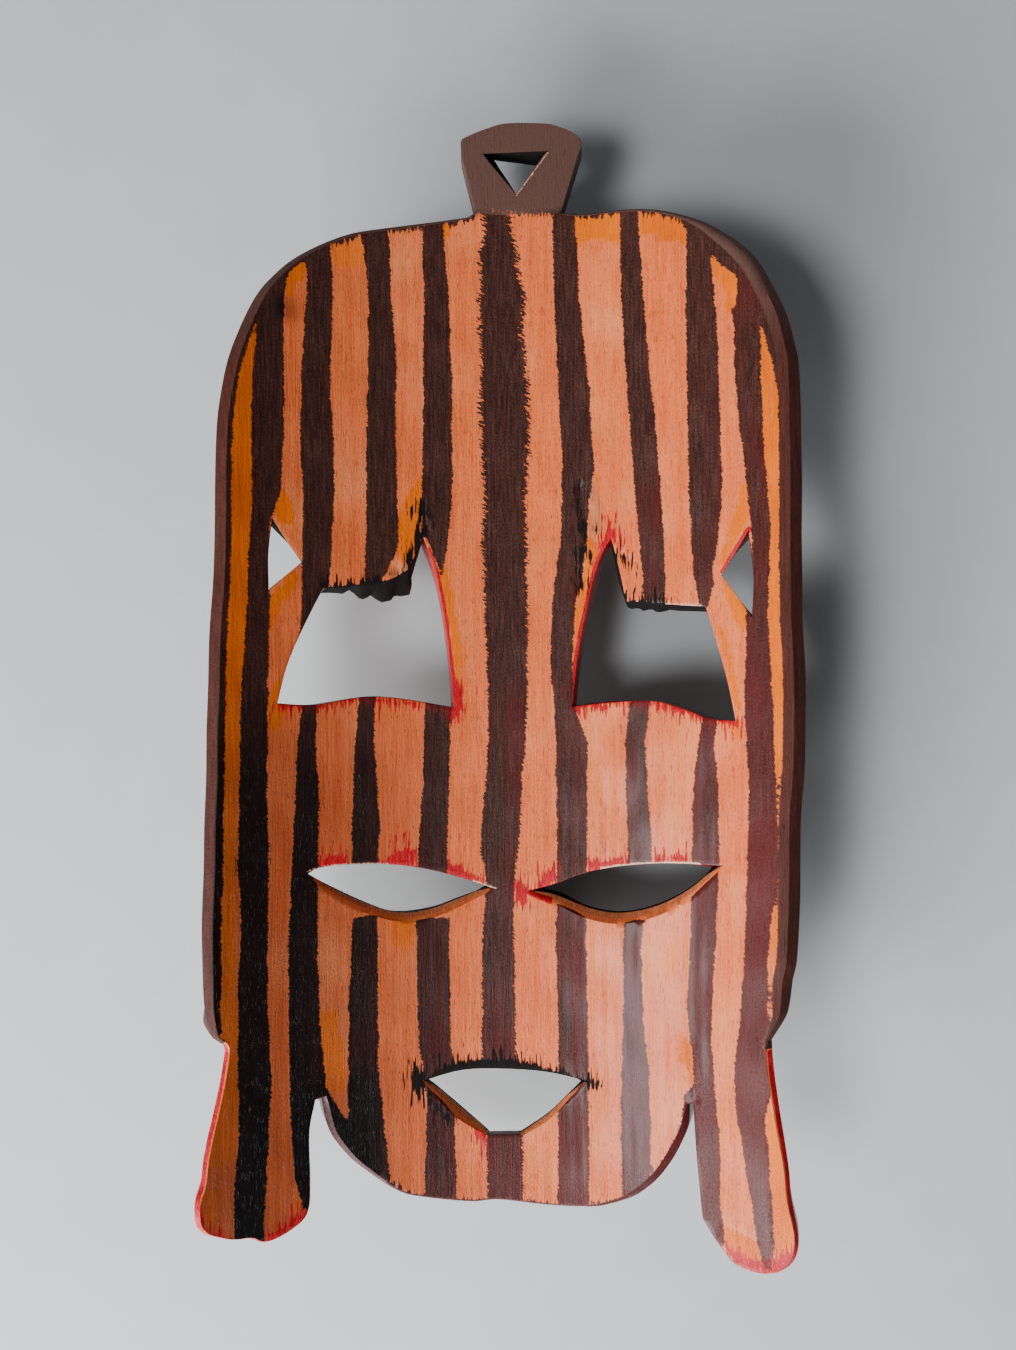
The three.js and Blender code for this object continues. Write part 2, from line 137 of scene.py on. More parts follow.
# Openings: outline at the back and at the front, point for point, and the paint on each wall
OPENINGS = {
    "loop_hole": {
        "depth": LOOP_DEPTH,
        "back": (
            ((-8.3, 155.2), (2.4, 142.5)),
            ((2.4, 142.5), (12.5, 156.1)),
            ((12.5, 156.1), (-8.3, 155.2)),
        ),
        "front": (
            ((-3.6, 158), (2.6, 147.6)),
            ((2.6, 147.6), (7.9, 156.2)),
            ((7.9, 156.2), (-3.6, 158)),
        ),
        "walls": ("black", "brown", "black"),
    },
    "upper_left": {
        "depth": BOARD,
        "back": (
            ((-25.5, 42), (-27.6, 37), (-30, 31.6)),
            ((-30, 31.6), (-38.5, 27.6), (-47, 26.4), (-55.7, 25.4)),
            ((-55.7, 25.4), (-61.7, 13.6), (-66.5, 2.6), (-69.3, -8.2)),
            ((-69.3, -8.2), (-58, -8.8), (-42.6, -6.6), (-30, -7.6), (-16.2, -10.2)),
            ((-16.2, -10.2), (-16.9, 0), (-19.3, 18.9), (-22, 32), (-25.5, 42)),
        ),
        "front": (
            ((-24.6, 41.6), (-26.6, 34), (-28.6, 26.6)),
            ((-28.6, 26.6), (-36.6, 25.4), (-46.2, 25.4), (-54.6, 24.6)),
            ((-54.6, 24.6), (-61.4, 13.4), (-66.6, 2.2), (-69.6, -9.2)),
            ((-69.6, -9.2), (-58, -8.9), (-42.6, -6.9), (-30, -7.6), (-16.4, -9.8)),
            ((-16.4, -9.8), (-16.9, 0), (-19.2, 18.9), (-21.8, 31.6), (-24.6, 41.6)),
        ),
        "walls": ("black", "black", "brown", "maroon", "red"),
    },
    "upper_right": {
        "depth": BOARD,
        "back": (
            ((31.2, 41.5), (28, 35.8), (25.5, 28.2), (23, 17.1), (20.7, 4.9), (19.1, -9.8)),
            ((19.1, -9.8), (29.6, -8.5), (43, -7.8), (51.8, -9.8), (60, -12.6), (68.5, -13.3)),
            ((68.5, -13.3), (65.8, -1.1), (61.7, 13.2), (59.2, 20)),
            ((59.2, 20), (47.5, 21), (35.8, 22)),
            ((35.8, 22), (34.1, 30), (31.2, 41.5)),
        ),
        "front": (
            ((29.5, 40.4), (27.2, 35.6), (26, 28), (23.2, 17.2), (21.2, 4.8), (19.7, -9.4)),
            ((19.7, -9.4), (29.6, -8.1), (43, -7.6), (51.8, -9.9), (60, -12.9), (68.9, -13.6)),
            ((68.9, -13.6), (65.9, -1.4), (61.4, 12.4), (58.4, 18.6)),
            ((58.4, 18.6), (46.8, 19.8), (34.3, 20.8)),
            ((34.3, 20.8), (31.8, 28.8), (29.5, 40.4)),
        ),
        "walls": ("red", "maroon", "brown", "black", "black"),
    },
    "temple_left": {
        "depth": BOARD,
        "back": (
            ((-70.6, 44.6), (-71.8, 34), (-71.8, 23.7)),
            ((-71.8, 23.7), (-61.6, 32.3)),
            ((-61.6, 32.3), (-70.6, 44.6)),
        ),
        "front": (
            ((-69.6, 45.4), (-72, 34), (-70.4, 22.6)),
            ((-70.4, 22.6), (-55.8, 32.4)),
            ((-55.8, 32.4), (-69.6, 45.4)),
        ),
        "walls": ("brown", "black", "black"),
    },
    "temple_right": {
        "depth": BOARD,
        "back": (
            ((71.9, 41), (63.7, 28.5)),
            ((63.7, 28.5), (73.1, 16)),
            ((73.1, 16), (73.6, 28), (71.9, 41)),
        ),
        "front": (
            ((71, 42), (57.8, 28.4)),
            ((57.8, 28.4), (72.4, 14.8)),
            ((72.4, 14.8), (73.8, 28), (71, 42)),
        ),
        "walls": ("maroon", "black", "brown"),
    },
    "eye_left": {
        "depth": EYE_DEPTH,
        "back": (
            ((-61.1, -56.6), (-52, -64.4), (-41, -70.6), (-31, -73.3), (-21.5, -72.2),
             (-12.6, -68.6), (-3.8, -64.2)),
            ((-3.8, -64.2), (-15, -60.4), (-28, -57), (-41, -55.4), (-54, -55.2), (-61.1, -56.6)),
        ),
        "front": (
            ((-56.3, -60), (-48.1, -65.1), (-38.7, -70.7), (-31.8, -73.4), (-21.8, -72.7),
             (-13.7, -69.9), (-5.3, -66.9)),
            ((-5.3, -66.9), (-14, -62.3), (-26, -58.8), (-37.9, -56.9), (-50, -57.2),
             (-56.3, -60)),
        ),
        "walls": ("bare", "maroon"),
    },
    "eye_right": {
        "depth": EYE_DEPTH,
        "back": (
            ((5.2, -64.9), (14, -68.6), (23.5, -72.7), (34.4, -73.7), (46, -70), (57, -62.6),
             (64.4, -54.2)),
            ((64.4, -54.2), (48, -54.8), (33, -56.6), (22, -59.4), (14, -62.6), (5.2, -64.9)),
        ),
        "front": (
            ((10.6, -67.4), (16.2, -68.8), (22.3, -72.3), (31.2, -73.5), (40.1, -71.2),
             (50, -65.1), (56.8, -57.8)),
            ((56.8, -57.8), (42.6, -57.2), (31.3, -58.5), (21.2, -61.1), (14.5, -64.5),
             (10.6, -67.4)),
        ),
        "walls": ("bare", "maroon"),
    },
    "mouth": {
        "depth": MOUTH_DEPTH,
        "back": (
            ((23.9, -120.1), (12, -118.2), (-1, -117.4), (-14, -117.5), (-25.8, -120)),
            ((-25.8, -120), (-15.9, -131), (-6, -136.9)),
            ((-6, -136.9), (4.6, -136.9)),
            ((4.6, -136.9), (12.9, -131.6), (23.9, -120.1)),
        ),
        "front": (
            ((20.1, -126.5), (11, -121.2), (-0.8, -120.2), (-13, -120.4), (-22, -125.7)),
            ((-22, -125.7), (-14.6, -133.1), (-4.9, -142.8)),
            ((-4.9, -142.8), (3.6, -142.8)),
            ((3.6, -142.8), (12.1, -136), (20.1, -126.5)),
        ),
        "walls": ("black", "bare", "brown", "bare"),
    },
}

# Broken teeth on the top walls of the upper openings: place across, reach into the opening
TEETH = {
    ("upper_left", 1): ((-55.7, 0), (-54.5, 0.4), (-52.1, 0.5), (-48.3, 1.3), (-46.8, -0.4),
                        (-45.9, 0), (-44.4, 2.6), (-42.4, 3.1), (-40.9, 1.4), (-40.4, 1.7),
                        (-38.8, 4.2), (-35.9, 3.9), (-34.7, 2.3), (-33.5, 3.2), (-31.1, 3.4),
                        (-30, 1.2)),
    ("upper_right", 3): ((35.8, 0.2), (37.2, 1), (38.8, 0.1), (40.6, 1.4), (42.4, 0.3),
                         (44.2, 1.5), (46, 1.3), (47.4, 0.3), (50, 0.5), (56, 0.1), (59.2, 0)),
}

# Profile of a tooth: shares of the opening's depth, and of its reach there
TOOTH_PROFILE = ((0, 0.12, 0.45, 0.8, 1), (0, 0.35, 1, 0.95, 0.6))

# Outer edge: run of the outline, axis along which it is measured (0 across, 1 along), places on
# it, and at them the width and depth of the bevel, how far the wall leans in below it, how far
# dark paint reaches in, and how flat the bevel is (0 is rounded); and the same five elsewhere
EDGES = (
    (ON_CROWN_LEFT, 1, (-100, -96, -86, -60, 0, 40, 90, 105, 118, 132, 137),
     (0.9, 1.3, 1.6, 1.8, 1.8, 1.8, 1.8, 1.7, 1.4, 1, 0.8),
     (1.6, 2.2, 3, 3.2, 3.2, 3.2, 3.2, 2.6, 1.8, 1.2, 1),
     (2.6, 3.4, 3.7, 3.7, 3.7, 3.7, 3.7, 3, 1.4, 0.8, 0.6),
     (1.6, 2.6, 3.9, 4.2, 3.7, 3.4, 3, 2.5, 2.2, 1.8, 1.5),
     (1, 1, 1, 1, 1, 1, 1, 1, 0.5, 0, 0)),
    (ON_PENDANT_LEFT, 0, (-90, -82, -78, -60), (0.65, 0.65, 0.6, 0.5), (2, 2, 1.2, 1),
     (1.6, 1.5, 0.6, 0.5), (-2, -2, -2, -2), (1, 1, 0.5, 0)),
    (ON_CHIN, 0, (-56, -46, -30, 20, 33, 40, 50, 53.5),
     (1.6, 1.4, 0.8, 0.8, 1.6, 2.2, 2.2, 1.6), (2, 2, 1, 1, 1.6, 2.2, 2.4, 2),
     (0.5, 0.5, 0.5, 0.5, 0.5, 0.5, 0.5, 0.5), (2.4, 1.8, 0.9, 0.9, 1.7, 2.3, 2.3, 1.8),
     (1, 1, 0, 0, 0.5, 1, 1, 1)),
    (ON_PENDANT_RIGHT, 0, (54, 62, 75, 77.6, 81, 84), (0.5, 0.6, 0.8, 1.3, 0.8, 0.4),
     (1, 1, 1.2, 2, 1.8, 1.6), (0.4, 0.5, 0.8, 1.4, 1.4, 1.4), (-2, -2, -2, -2, -2, -2),
     (0, 0, 0.3, 1, 1, 1)),
    (ON_CROWN_RIGHT, 1, (-101, -96, -88, -60, 60, 100, 112, 120, 127, 132, 137),
     (1, 2.4, 3.8, 4.2, 4.3, 4.2, 4.2, 4.2, 3.2, 1.6, 0.9),
     (2, 3.4, 4.6, 5, 5, 4.4, 3.6, 3, 2.2, 1.4, 1),
     (3.4, 4.2, 4.2, 4.2, 3.8, 3.2, 2.4, 1.6, 1, 0.8, 0.6),
     (1.4, 2.4, 3.8, 4.2, 4.3, 4.4, 4.4, 4.4, 3.6, 2.2, 1.4),
     (0.5, 1, 1, 1, 1, 0.9, 0.6, 0.3, 0, 0, 0)),
)
PLAIN_EDGE = (0.8, 1.0, 0.8, 1.0, 0.0)

# Knee of a flat bevel: share of its width still to go, share of its depth reached. And where,
# along the mask, the right one gets a pale line of bare-wood colour at its knee: a painted
# highlight of that crease
KNEE = (0.5, 0.5)
KNEE_RIGHT = (0.35, 0.2)
KNEE_HIGHLIGHT = (-20, 96)

# Bevels at the back of the openings: (share of the wall, width) along it
BEVELS = {
    ("eye_left", 0): ((0, 0.3), (0.12, 1.6), (0.35, 2.5), (0.75, 2.5), (0.92, 1.8), (1, 0.4)),
    ("eye_right", 0): ((0, 0.4), (0.1, 2), (0.25, 3.1), (0.5, 3.1), (0.7, 2.4), (0.9, 1.9),
                       (1, 0.4)),
    ("mouth", 1): ((0, 0.4), (0.2, 2.2), (0.55, 3.1), (0.85, 2.2), (1, 1)),
    ("mouth", 3): ((0, 1), (0.2, 1.5), (0.7, 1.4), (1, 0.4)),
}

# Gouges, cracks and raised splinters of the back: from, to, half width, depth (raised if < 0)
CUTS = (
    ((21.3, 57), (23.4, 41), 0.9, 0.6),
    ((22.6, 40), (21.4, 27), 0.9, 0.3),
    ((25.2, 59), (28.2, 45.5), 0.8, -0.3),
    ((24.8, 50), (26.2, 39.5), 0.8, 0.4),
    ((26.6, 42.5), (27.6, 38.5), 0.8, -0.4),
    ((-25.8, 52), (-24.6, 43), 0.8, 0.6),
    ((-24, 50), (-22.4, 43.5), 0.8, -0.25),
    ((-33.8, 31.5), (-31.2, 27), 1.8, 0.6),
    ((-35.6, 28.2), (-31.8, 31), 0.8, -0.3),
    ((34, 36), (37.2, 33.4), 0.7, 0.4),
    ((27.8, -23), (28.3, -38), 0.7, 0.25),
    ((54.4, -106), (55.6, -121), 0.9, 0.5),
    ((-78.6, -52.3), (-73, -52.7), 0.7, 0.3),
    ((-62.4, -141.2), (-59.4, -142.4), 0.7, 0.3),
)

# Dark stripes of the back: for each, (place along, left edge, right edge) from the top down
STRIPES = (
    ((120, -69, -65.2), (112, -74.9, -65.6), (103, -74.2, -66.6), (83, -75.9, -66.8),
     (68, -76.6, -66.9), (53, -76.1, -67.9), (41, -77.1, -71.3), (17, -78.3, -71.3),
     (-8, -79.8, -71.9), (-32, -80.3, -72.1), (-53, -80.5, -71.4), (-68, -79.5, -71.6),
     (-92, -80.1, -71.4), (-115, -79.5, -70), (-130, -79.4, -70.6), (-140, -80.2, -71.2),
     (-158, -80, -71.6)),
    ((126, -61.1, -52.8), (112, -59.5, -52.1), (94, -61.1, -52.6), (83, -61.8, -53.2),
     (68, -62.2, -52.1), (53, -61.4, -52.2), (29, -61.8, -53.5), (8, -62.5, -55)),
    ((-6, -61.5, -57.5), (-20, -63.3, -57.7), (-32, -63.6, -56.8), (-53, -64.7, -57),
     (-80, -65.6, -56.8), (-103, -65.1, -55.7), (-118, -64.6, -54), (-130, -64, -54),
     (-142, -62.6, -54), (-151, -60.2, -54)),
    ((134, -44.2, -35.7), (112, -41.7, -34.9), (94, -41.9, -33.5), (68, -42.6, -33.7),
     (41, -42.7, -32.9), (37, -43, -33.4), (30.5, -43.1, -36.5), (26, -43.1, -40.5)),
    ((-5, -44.6, -40.1), (-20, -46.1, -40.4), (-44, -46.9, -38.5), (-62, -46.9, -39.6)),
    ((-71, -46.7, -39.3), (-92, -47.5, -38.9), (-115, -47.6, -38.8), (-127, -47.4, -37.2),
     (-138, -50, -35.9), (-146, -47, -35), (-156, -46, -33)),
    ((137, -25.6, -19.7), (125, -25.6, -18.8), (112, -25.1, -17.6), (83, -25.5, -16.8),
     (53, -25.9, -16.9), (42, -25, -18), (36, -22.6, -18.8), (30, -20.4, -19.7)),
    ((-7, -25.1, -17.2), (-32, -25.7, -17.8), (-53, -27.1, -18.4), (-66, -27.4, -18)),
    ((-72.5, -27.6, -17.8), (-92, -27.3, -17.4), (-108, -26.8, -17.2), (-127, -24.2, -15.6),
     (-138, -24.4, -15.8), (-157, -24.6, -15.1)),
    ((139, -8, 0), (131, -7.2, 1.5), (125, -8.9, 3), (118, -8.1, 3.8), (112, -8.7, 5.4),
     (103, -8.7, 4.2), (94, -7.8, 5.7), (83, -8.7, 6.3), (68, -8.1, 6.6), (53, -6.9, 5.4),
     (41, -7.9, 5.7), (17, -7, 6), (-8, -6, 5.7), (-20, -6, 5.4), (-32, -6.9, 4.2),
     (-44, -7.8, 3.9), (-53, -8.4, 3.3), (-61, -6.6, 1.8), (-80, -7.8, 1.8),
     (-103, -7.8, 2.1), (-118, -7.8, 2.7), (-136, -6.4, 4.4), (-160, -5.9, 4.4)),
    ((139, 13.1, 19.4), (125, 13.4, 20.6), (112, 13.8, 21.2), (94, 14.7, 23.4),
     (83, 15.3, 24.6), (60, 16.3, 25.9), (50, 16.2, 24.2), (40, 15.8, 23.6), (29, 14.2, 22.3),
     (22, 13.4, 20.5), (4, 12.7, 19.4), (-8, 13.9, 19.6), (-20, 14.5, 23.9), (-53, 14.8, 23.8),
     (-80, 14.4, 23.4), (-103, 15, 23.9), (-127, 15, 24), (-160, 14.8, 24)),
    ((139, 33.3, 38.3), (125, 33.3, 39.3), (112, 33.7, 40.3), (94, 35, 41.9), (83, 35.7, 43.1),
     (68, 37, 44.7), (53, 38.2, 46), (41, 39.4, 46.9), (16, 41.5, 47.5)),
    ((-5, 37.1, 43.1), (-20, 35.3, 41.3), (-53, 36.1, 43.3), (-80, 34.5, 39.9),
     (-103, 34.4, 40.4), (-115, 33.8, 42), (-160, 33.6, 42.6)),
    ((136, 53.4, 57), (125, 53.1, 59), (112, 53, 60.9), (94, 53.1, 62.6), (83, 53.5, 63),
     (53, 54.3, 64.1), (38, 55, 63), (31, 55.4, 61.3), (26, 56.2, 61.6), (19, 57.6, 60)),
    ((-12, 58.5, 63), (-20, 57.1, 61.8), (-32, 55.6, 63), (-53, 55.2, 63.2), (-80, 54.4, 61.8),
     (-96, 53.3, 60.8), (-105, 54.1, 60.4), (-111, 54.9, 61), (-117.5, 55.2, 61.3),
     (-121, 52, 61.6), (-134, 52, 62.8), (-146, 52, 62.3), (-160, 52, 63.8)),
    ((103, 66.6, 73.9), (94, 67.3, 74.9), (83, 67.7, 75.3), (68, 69.3, 76), (53, 71.4, 77.3),
     (41, 72.7, 78.5), (29, 73.3, 78), (17, 71.3, 77.7), (-8, 70.7, 79.2), (-32, 72.1, 80),
     (-53, 71.4, 80.8), (-68, 71, 78.3), (-80, 70.3, 77.3), (-95, 69, 77),
     (-100, 68.5, 80), (-110, 67, 79), (-115, 67, 77.6), (-122, 67.4, 76), (-130, 68.8, 76.5),
     (-139, 70, 77), (-146, 71.4, 77.4), (-155, 72.7, 77.9), (-162, 74.4, 76.6)),
)
CENTRE_STRIPE = 9  # the widest, with the most ragged edges

# Orange strips just inside the rim
ORANGE_STRIPES = (
    ((107, -80, -73), (94, -84, -73), (68, -90, -73), (29, -90, -74), (4, -90, -76),
     (-12, -90, -79), (-30, -90, -80.6), (-68, -90, -81.2), (-92, -90, -80.6),
     (-104, -90, -78)),
    ((106, 73.2, 74.6), (96, 72, 80), (83, 72, 84), (68, 73, 90), (53, 74, 90), (17, 75, 90),
     (-20, 76, 90), (-44, 77, 90), (-60, 78.5, 90), (-100, 77.4, 82)),
)

# Patches of paint on the back, each a polygon of (across, along)
DARK_PATCHES = (
    ((-75, 90), (-73, 103.5), (-70.5, 107.5), (-66, 113), (-66.5, 100), (-67, 90)),
    ((50, 132), (54, 126), (59, 120.5), (60, 119.5), (68, 111.5), (67.5, 105.5), (67, 93),
     (72.5, 92), (72.6, 103), (75.5, 95), (78.4, 87), (80, 79), (81.4, 62), (89.5, 61), (89, 93),
     (81.5, 113), (68.5, 128.5), (57, 135)),
    ((-56, -119.5), (-53.5, -118.5), (-51, -124), (-46.5, -130.5), (-46, -138), (-43, -143.5),
     (-49.5, -141), (-54, -127.5)),
)
ORANGE_PATCHES = (
    ((-59, 120.5), (-59, 115.5), (-63, 110.5), (-64.5, 107), (-67.5, 107.5), (-67, 112),
     (-64.5, 116)),
    ((-20, 135), (-17, 135), (-17, 130.5), (-20, 129.5)),
    ((19, 137), (34, 137), (34, 127), (29.5, 127.5), (27, 128.5), (23, 128), (20, 126.5)),
    ((38.5, 136), (50, 133), (52, 129.5), (54.5, 125), (54.5, 123.6), (52.5, 124), (45, 126),
     (44, 128.5), (38.5, 128)),
    ((59, 121.5), (61, 122), (69, 112), (68.6, 101), (65.4, 102.5), (64, 109), (60, 115.5)),
    ((-27, 59.5), (-24, 60), (-25, 51), (-26.5, 46), (-27.5, 41), (-28.5, 34), (-32, 33.5),
     (-33.6, 35), (-33.6, 44.5), (-32.5, 48), (-30.5, 53.5), (-28.5, 56.5)),
    ((-25.5, 46.5), (-23, 46), (-21.5, 40.5), (-20.5, 34.5), (-18.9, 33), (-18, 29), (-16.5, 25),
     (-15.2, 16.5), (-13.9, 9), (-13.9, -1.5), (-15.5, -4.5), (-17.5, 10.5), (-20.5, 25.5),
     (-24.5, 40.5)),
    ((-69, 53.5), (-67, 52.5), (-64.4, 46.5), (-63.6, 42), (-67.5, 43), (-70, 44)),
    ((-65, 29.4), (-62, 28.6), (-64.8, 23.5), (-68.6, 18), (-70.9, 12), (-72.5, 16),
     (-72, 21.5), (-68.5, 25)),
    ((-68.8, 1), (-67, -6), (-66.8, -10.5), (-68.5, -15.5), (-71.8, -16), (-72.2, -8)),
    ((23.8, 41), (23, 33.5), (22.3, 28), (20.6, 21.5), (19.5, 16), (19.2, 7.5), (18.8, -4.5),
     (20.5, -7.5), (21.5, 7.5), (23, 18), (25.6, 28), (27.6, 36), (26, 41)),
    ((69.5, 54), (72.2, 54), (72, 43.5), (69.5, 40), (64, 30.6), (63, 32), (65.6, 38),
     (66.6, 43), (68, 48)),
    ((64, 26.6), (65.5, 26), (70, 20.5), (72, 16.4), (71.2, 9), (69, 13), (66.6, 18.5)),
    ((62.5, 15), (64.4, 13.5), (67.8, 2), (69.6, -7), (70.6, -18.4), (68, -18.5), (65, -14.5),
     (69, -12), (66.2, -4.5)),
    ((-36, -72), (-27.5, -72.5), (-28.2, -80.5), (-32, -82.4), (-35.5, -78.5)),
    ((-56.4, -97), (-51.5, -97.6), (-48.6, -108.5), (-47.4, -120.5), (-51, -121),
     (-53.5, -119.5), (-56.4, -118)),
    ((51.5, -104.5), (53, -103.5), (55.5, -106), (56.5, -111), (56.8, -118), (54.8, -119),
     (53.4, -114), (51, -110.5)),
    ((-86, -99), (-79.5, -100), (-79, -122), (-80, -131), (-84, -133), (-88, -131.5),
     (-86, -115)),
    ((-89, -137.5), (-85.3, -138.5), (-84.8, -145), (-86, -148), (-89, -146)),
    ((-62, -140.6), (-59.6, -142.5), (-59, -148), (-62.8, -150.4), (-61.3, -145)),
    ((76.6, -116), (80, -122), (83.5, -134), (86.5, -146.5), (86.5, -160), (78, -163),
     (76.4, -150), (76.4, -135), (75.4, -124)),
    ((61.5, -153), (66, -155), (74, -156), (74, -162), (66.5, -163), (60.5, -158)),
)
ORANGE_WASHES = (
    ((-52, 124.5), (-42, 128), (-42, 120.5), (-47, 118), (-52, 119)),
    ((61.8, -124), (63, -124), (63.4, -135), (62.4, -135)),
    ((67, -126), (68.6, -126), (70.8, -137), (69.6, -137)),
)
RED_PATCHES = (
    ((-18.8, -7.5), (-16.4, -0.5), (-13.4, -4.5), (-13.3, -11), (-16, -15.5), (-18.2, -14)),
    ((-70, -7), (-56.5, -8), (-44.5, -6), (-32.5, -7), (-20.5, -9), (-15.5, -9), (-15.5, -11.8),
     (-20.5, -11.6), (-32.5, -9.2), (-44.5, -8.2), (-56.5, -10.4), (-70, -9.8)),
    ((18.5, -8), (28, -8), (40, -7), (51.5, -8.4), (63.5, -11), (69, -12.6), (70, -15.4),
     (63.5, -14.6), (51.5, -11.6), (40, -9.4), (28, -10.4), (18.5, -11.2)),
    ((29.4, 47), (31, 47), (32.2, 44), (35.4, 38.6), (33.4, 36.4), (31.5, 40), (28.5, 34),
     (26.6, 33.5), (26.8, 38.5), (28.3, 42), (29.2, 43.6)),
    ((-56.4, -53.6), (-54.5, -51), (-48, -52.8), (-47, -56.4), (-56.4, -56.4)),
    ((-38, -55.2), (-35, -52), (-31.5, -51.4), (-27.3, -51.4), (-27.3, -57.8), (-38, -57)),
    ((-18.6, -57), (-15, -56), (-12, -58.6), (-6.6, -61.8), (-6.6, -63.8), (-18.6, -60.6)),
    ((9, -62.6), (10, -58.8), (14.8, -57.8), (15.2, -62.6), (9, -64.6)),
    ((23.8, -59.6), (23.8, -55.4), (30.5, -54.4), (36, -52.8), (36.2, -57.4)),
    ((43.3, -56), (43.8, -52.4), (48.5, -52.4), (54.4, -51.4), (55, -55)),
    ((2, -62), (4, -60.6), (7, -64), (6, -69), (4, -71), (2.2, -67)),
    ((-13, -133), (-7.5, -134), (-5.6, -135.6), (-5.9, -144.4), (-7, -143.5), (-8.5, -138.5),
     (-10.5, -135.5)),
    ((-90, -142.5), (-88, -147), (-83.5, -150.6), (-72, -155), (-65.5, -153), (-58.5, -150),
     (-58.5, -153.5), (-67, -158), (-72, -158), (-83.5, -154), (-90.5, -149)),
    ((62.6, -158.6), (69.5, -160.2), (73.5, -159.6), (78, -158.2), (81.8, -154.8), (85, -151),
     (85.5, -158.5), (79.5, -164), (73.5, -166), (65, -164)),
    ((-36, -49.6), (-34.8, -46.8), (-34.2, -50), (-35, -51.4)),
    ((-30.6, -49.6), (-29.6, -46), (-29, -50), (-29.8, -51.4)),
)
BLACK_PATCHES = (
    ((-56.4, 24), (-54, 26.2), (-49, 26.8), (-41.5, 28.4), (-37, 28.6), (-35.6, 27),
     (-31.5, 26), (-30, 22.5), (-56.8, 21.5)),
    ((-27.4, 51), (-25.7, 52.4), (-24.5, 46.5), (-23.6, 41.6), (-26, 39), (-28.5, 33.6),
     (-29.8, 30), (-30, 26), (-31.4, 27), (-30, 34.5), (-28.9, 40.5), (-27.2, 43.6)),
    ((-26, -120), (-21, -116.4), (-14, -114.6), (-5, -114.2), (3.5, -114.6), (8, -115.8),
     (15, -117.4), (22, -120), (12, -121.5), (-14, -121.5)),
    ((-29.2, -115.5), (-28, -114), (-25.4, -117), (-24.4, -120.5), (-25.5, -124.4),
     (-27, -126), (-28.8, -122)),
    ((22.6, -119), (25.5, -118.9), (26.6, -120.6), (26, -122.4), (23.2, -122)),
    ((20.8, 58), (21.7, 53), (23.2, 46.5), (24.2, 40.5), (22, 41), (20.9, 49.5)),
    ((22.6, 40.5), (23.8, 39), (22.8, 31.5), (21, 25.5), (20.8, 34.5)),
    ((33.6, 36.4), (35.5, 35.3), (37.4, 33.7), (37.2, 32.7), (35, 33.8), (33.2, 35.4)),
    ((36, 21), (37.2, 23.2), (38.8, 22), (40.4, 23.2), (42, 22), (44.5, 23.2), (47, 22.4),
     (48.6, 21), (42, 20.4)),
    ((-78.8, -51.9), (-76, -52.3), (-72.6, -51.9), (-72.6, -53.1), (-76.5, -53.3),
     (-78.8, -52.9)),
    ((-22.6, -124.4), (-15.9, -131.6), (-17.4, -133.4), (-24.6, -126)),
)
BARE_PATCHES = (
    ((25, 60), (27, 55), (28.5, 49), (29, 45), (27.6, 40.5), (26, 37), (24.5, 38), (24.2, 46.5),
     (24.6, 52.5)),
    ((-32.5, 35), (-29, 34.5), (-30.3, 26), (-32.5, 24.6), (-35.8, 27.3), (-36, 29.5)),
    ((-25.3, 52.5), (-24.3, 51), (-23.2, 46), (-22.8, 42.5), (-24.5, 43.5)),
)

# Red lines along the openings: opening, wall, from and to along it; and their width
RED_LINES = (
    ("upper_left", 4, 0.0, 0.92),
    ("upper_right", 0, 0.0, 1.0),
    ("temple_right", 0, 0.0, 1.0),
    ("eye_right", 0, 0.0, 0.12),
)
RED_LINE_WIDTH = 0.9

# Where the back is darker: a smudge on the wood (its middle and its radii), and painted shade
# where the board faces away from the light: how dark the left side is below the middle, before
# its lower end, which is darker still
SMUDGE = (-65.5, 103.5, 4.5, 4.5)
LEFT_SHADE = 0.85

# How far outside a paint a place counts as, where it has none of it
NO_PAINT = -9.0

# Turn of the brush's bristle marks from the grain, in radians
BRUSH_SLANT = 0.42

# Edges with a pale line, chipped paint and a painted highlight of the edge: opening, wall, from and
# to along it, strength
CHIPS_AND_GLINTS = (
    ("upper_right", 3, 0.04, 0.5, 0.72),
    ("eye_right", 1, 0.1, 0.62, 0.9),
    ("eye_left", 1, 0.55, 1.0, 0.7),
    ("eye_left", 1, 0.0, 0.12, 0.8),
    ("mouth", 0, 0.3, 0.62, 0.35),
    ("mouth", 2, 0.0, 1.0, 0.3),
    ("loop_hole", 0, 0.25, 1.0, 0.5),
    ("loop_hole", 1, 0.0, 1.0, 0.7),
)


def smooth(start, end, value):
    """0 before start and 1 after end, with the curve 3t2 - 2t3 between them, in either order."""
    t = np.clip((value - start) / (end - start), 0, 1)
    return t * t * (3 - 2 * t)


def swell(s, y, middle_s, middle_y, radius_s, radius_y):
    """Bell over a place: e to the minus sum of the squared distances over the radii."""
    return np.exp(-(((s - middle_s) / radius_s) ** 2) - ((y - middle_y) / radius_y) ** 2)


def curve(points, pieces):
    """Smooth line through points, cut into equal lengths.

    On each span it is the cubic that has, at a point, half the step from the point before to
    the point after as its slope.
    """
    p = np.array(points, float)
    last = len(p) - 1
    t = np.linspace(0, last, 40 * last + 1)
    i = np.minimum(t.astype(int), last - 1)
    u = (t - i)[:, None]
    a, b, c, d = p[np.maximum(i - 1, 0)], p[i], p[i + 1], p[np.minimum(i + 2, last)]
    one, two = (c - a) / 2, (d - b) / 2
    line = (2 * b - 2 * c + one + two) * u**3 + (3 * c - 3 * b - 2 * one - two) * u**2 + one * u + b
    along = np.r_[0, np.cumsum(np.hypot(*np.diff(line, axis=0).T))]
    places = np.linspace(0, along[-1], pieces + 1)
    return np.column_stack([np.interp(places, along, line[:, k]) for k in (0, 1)])


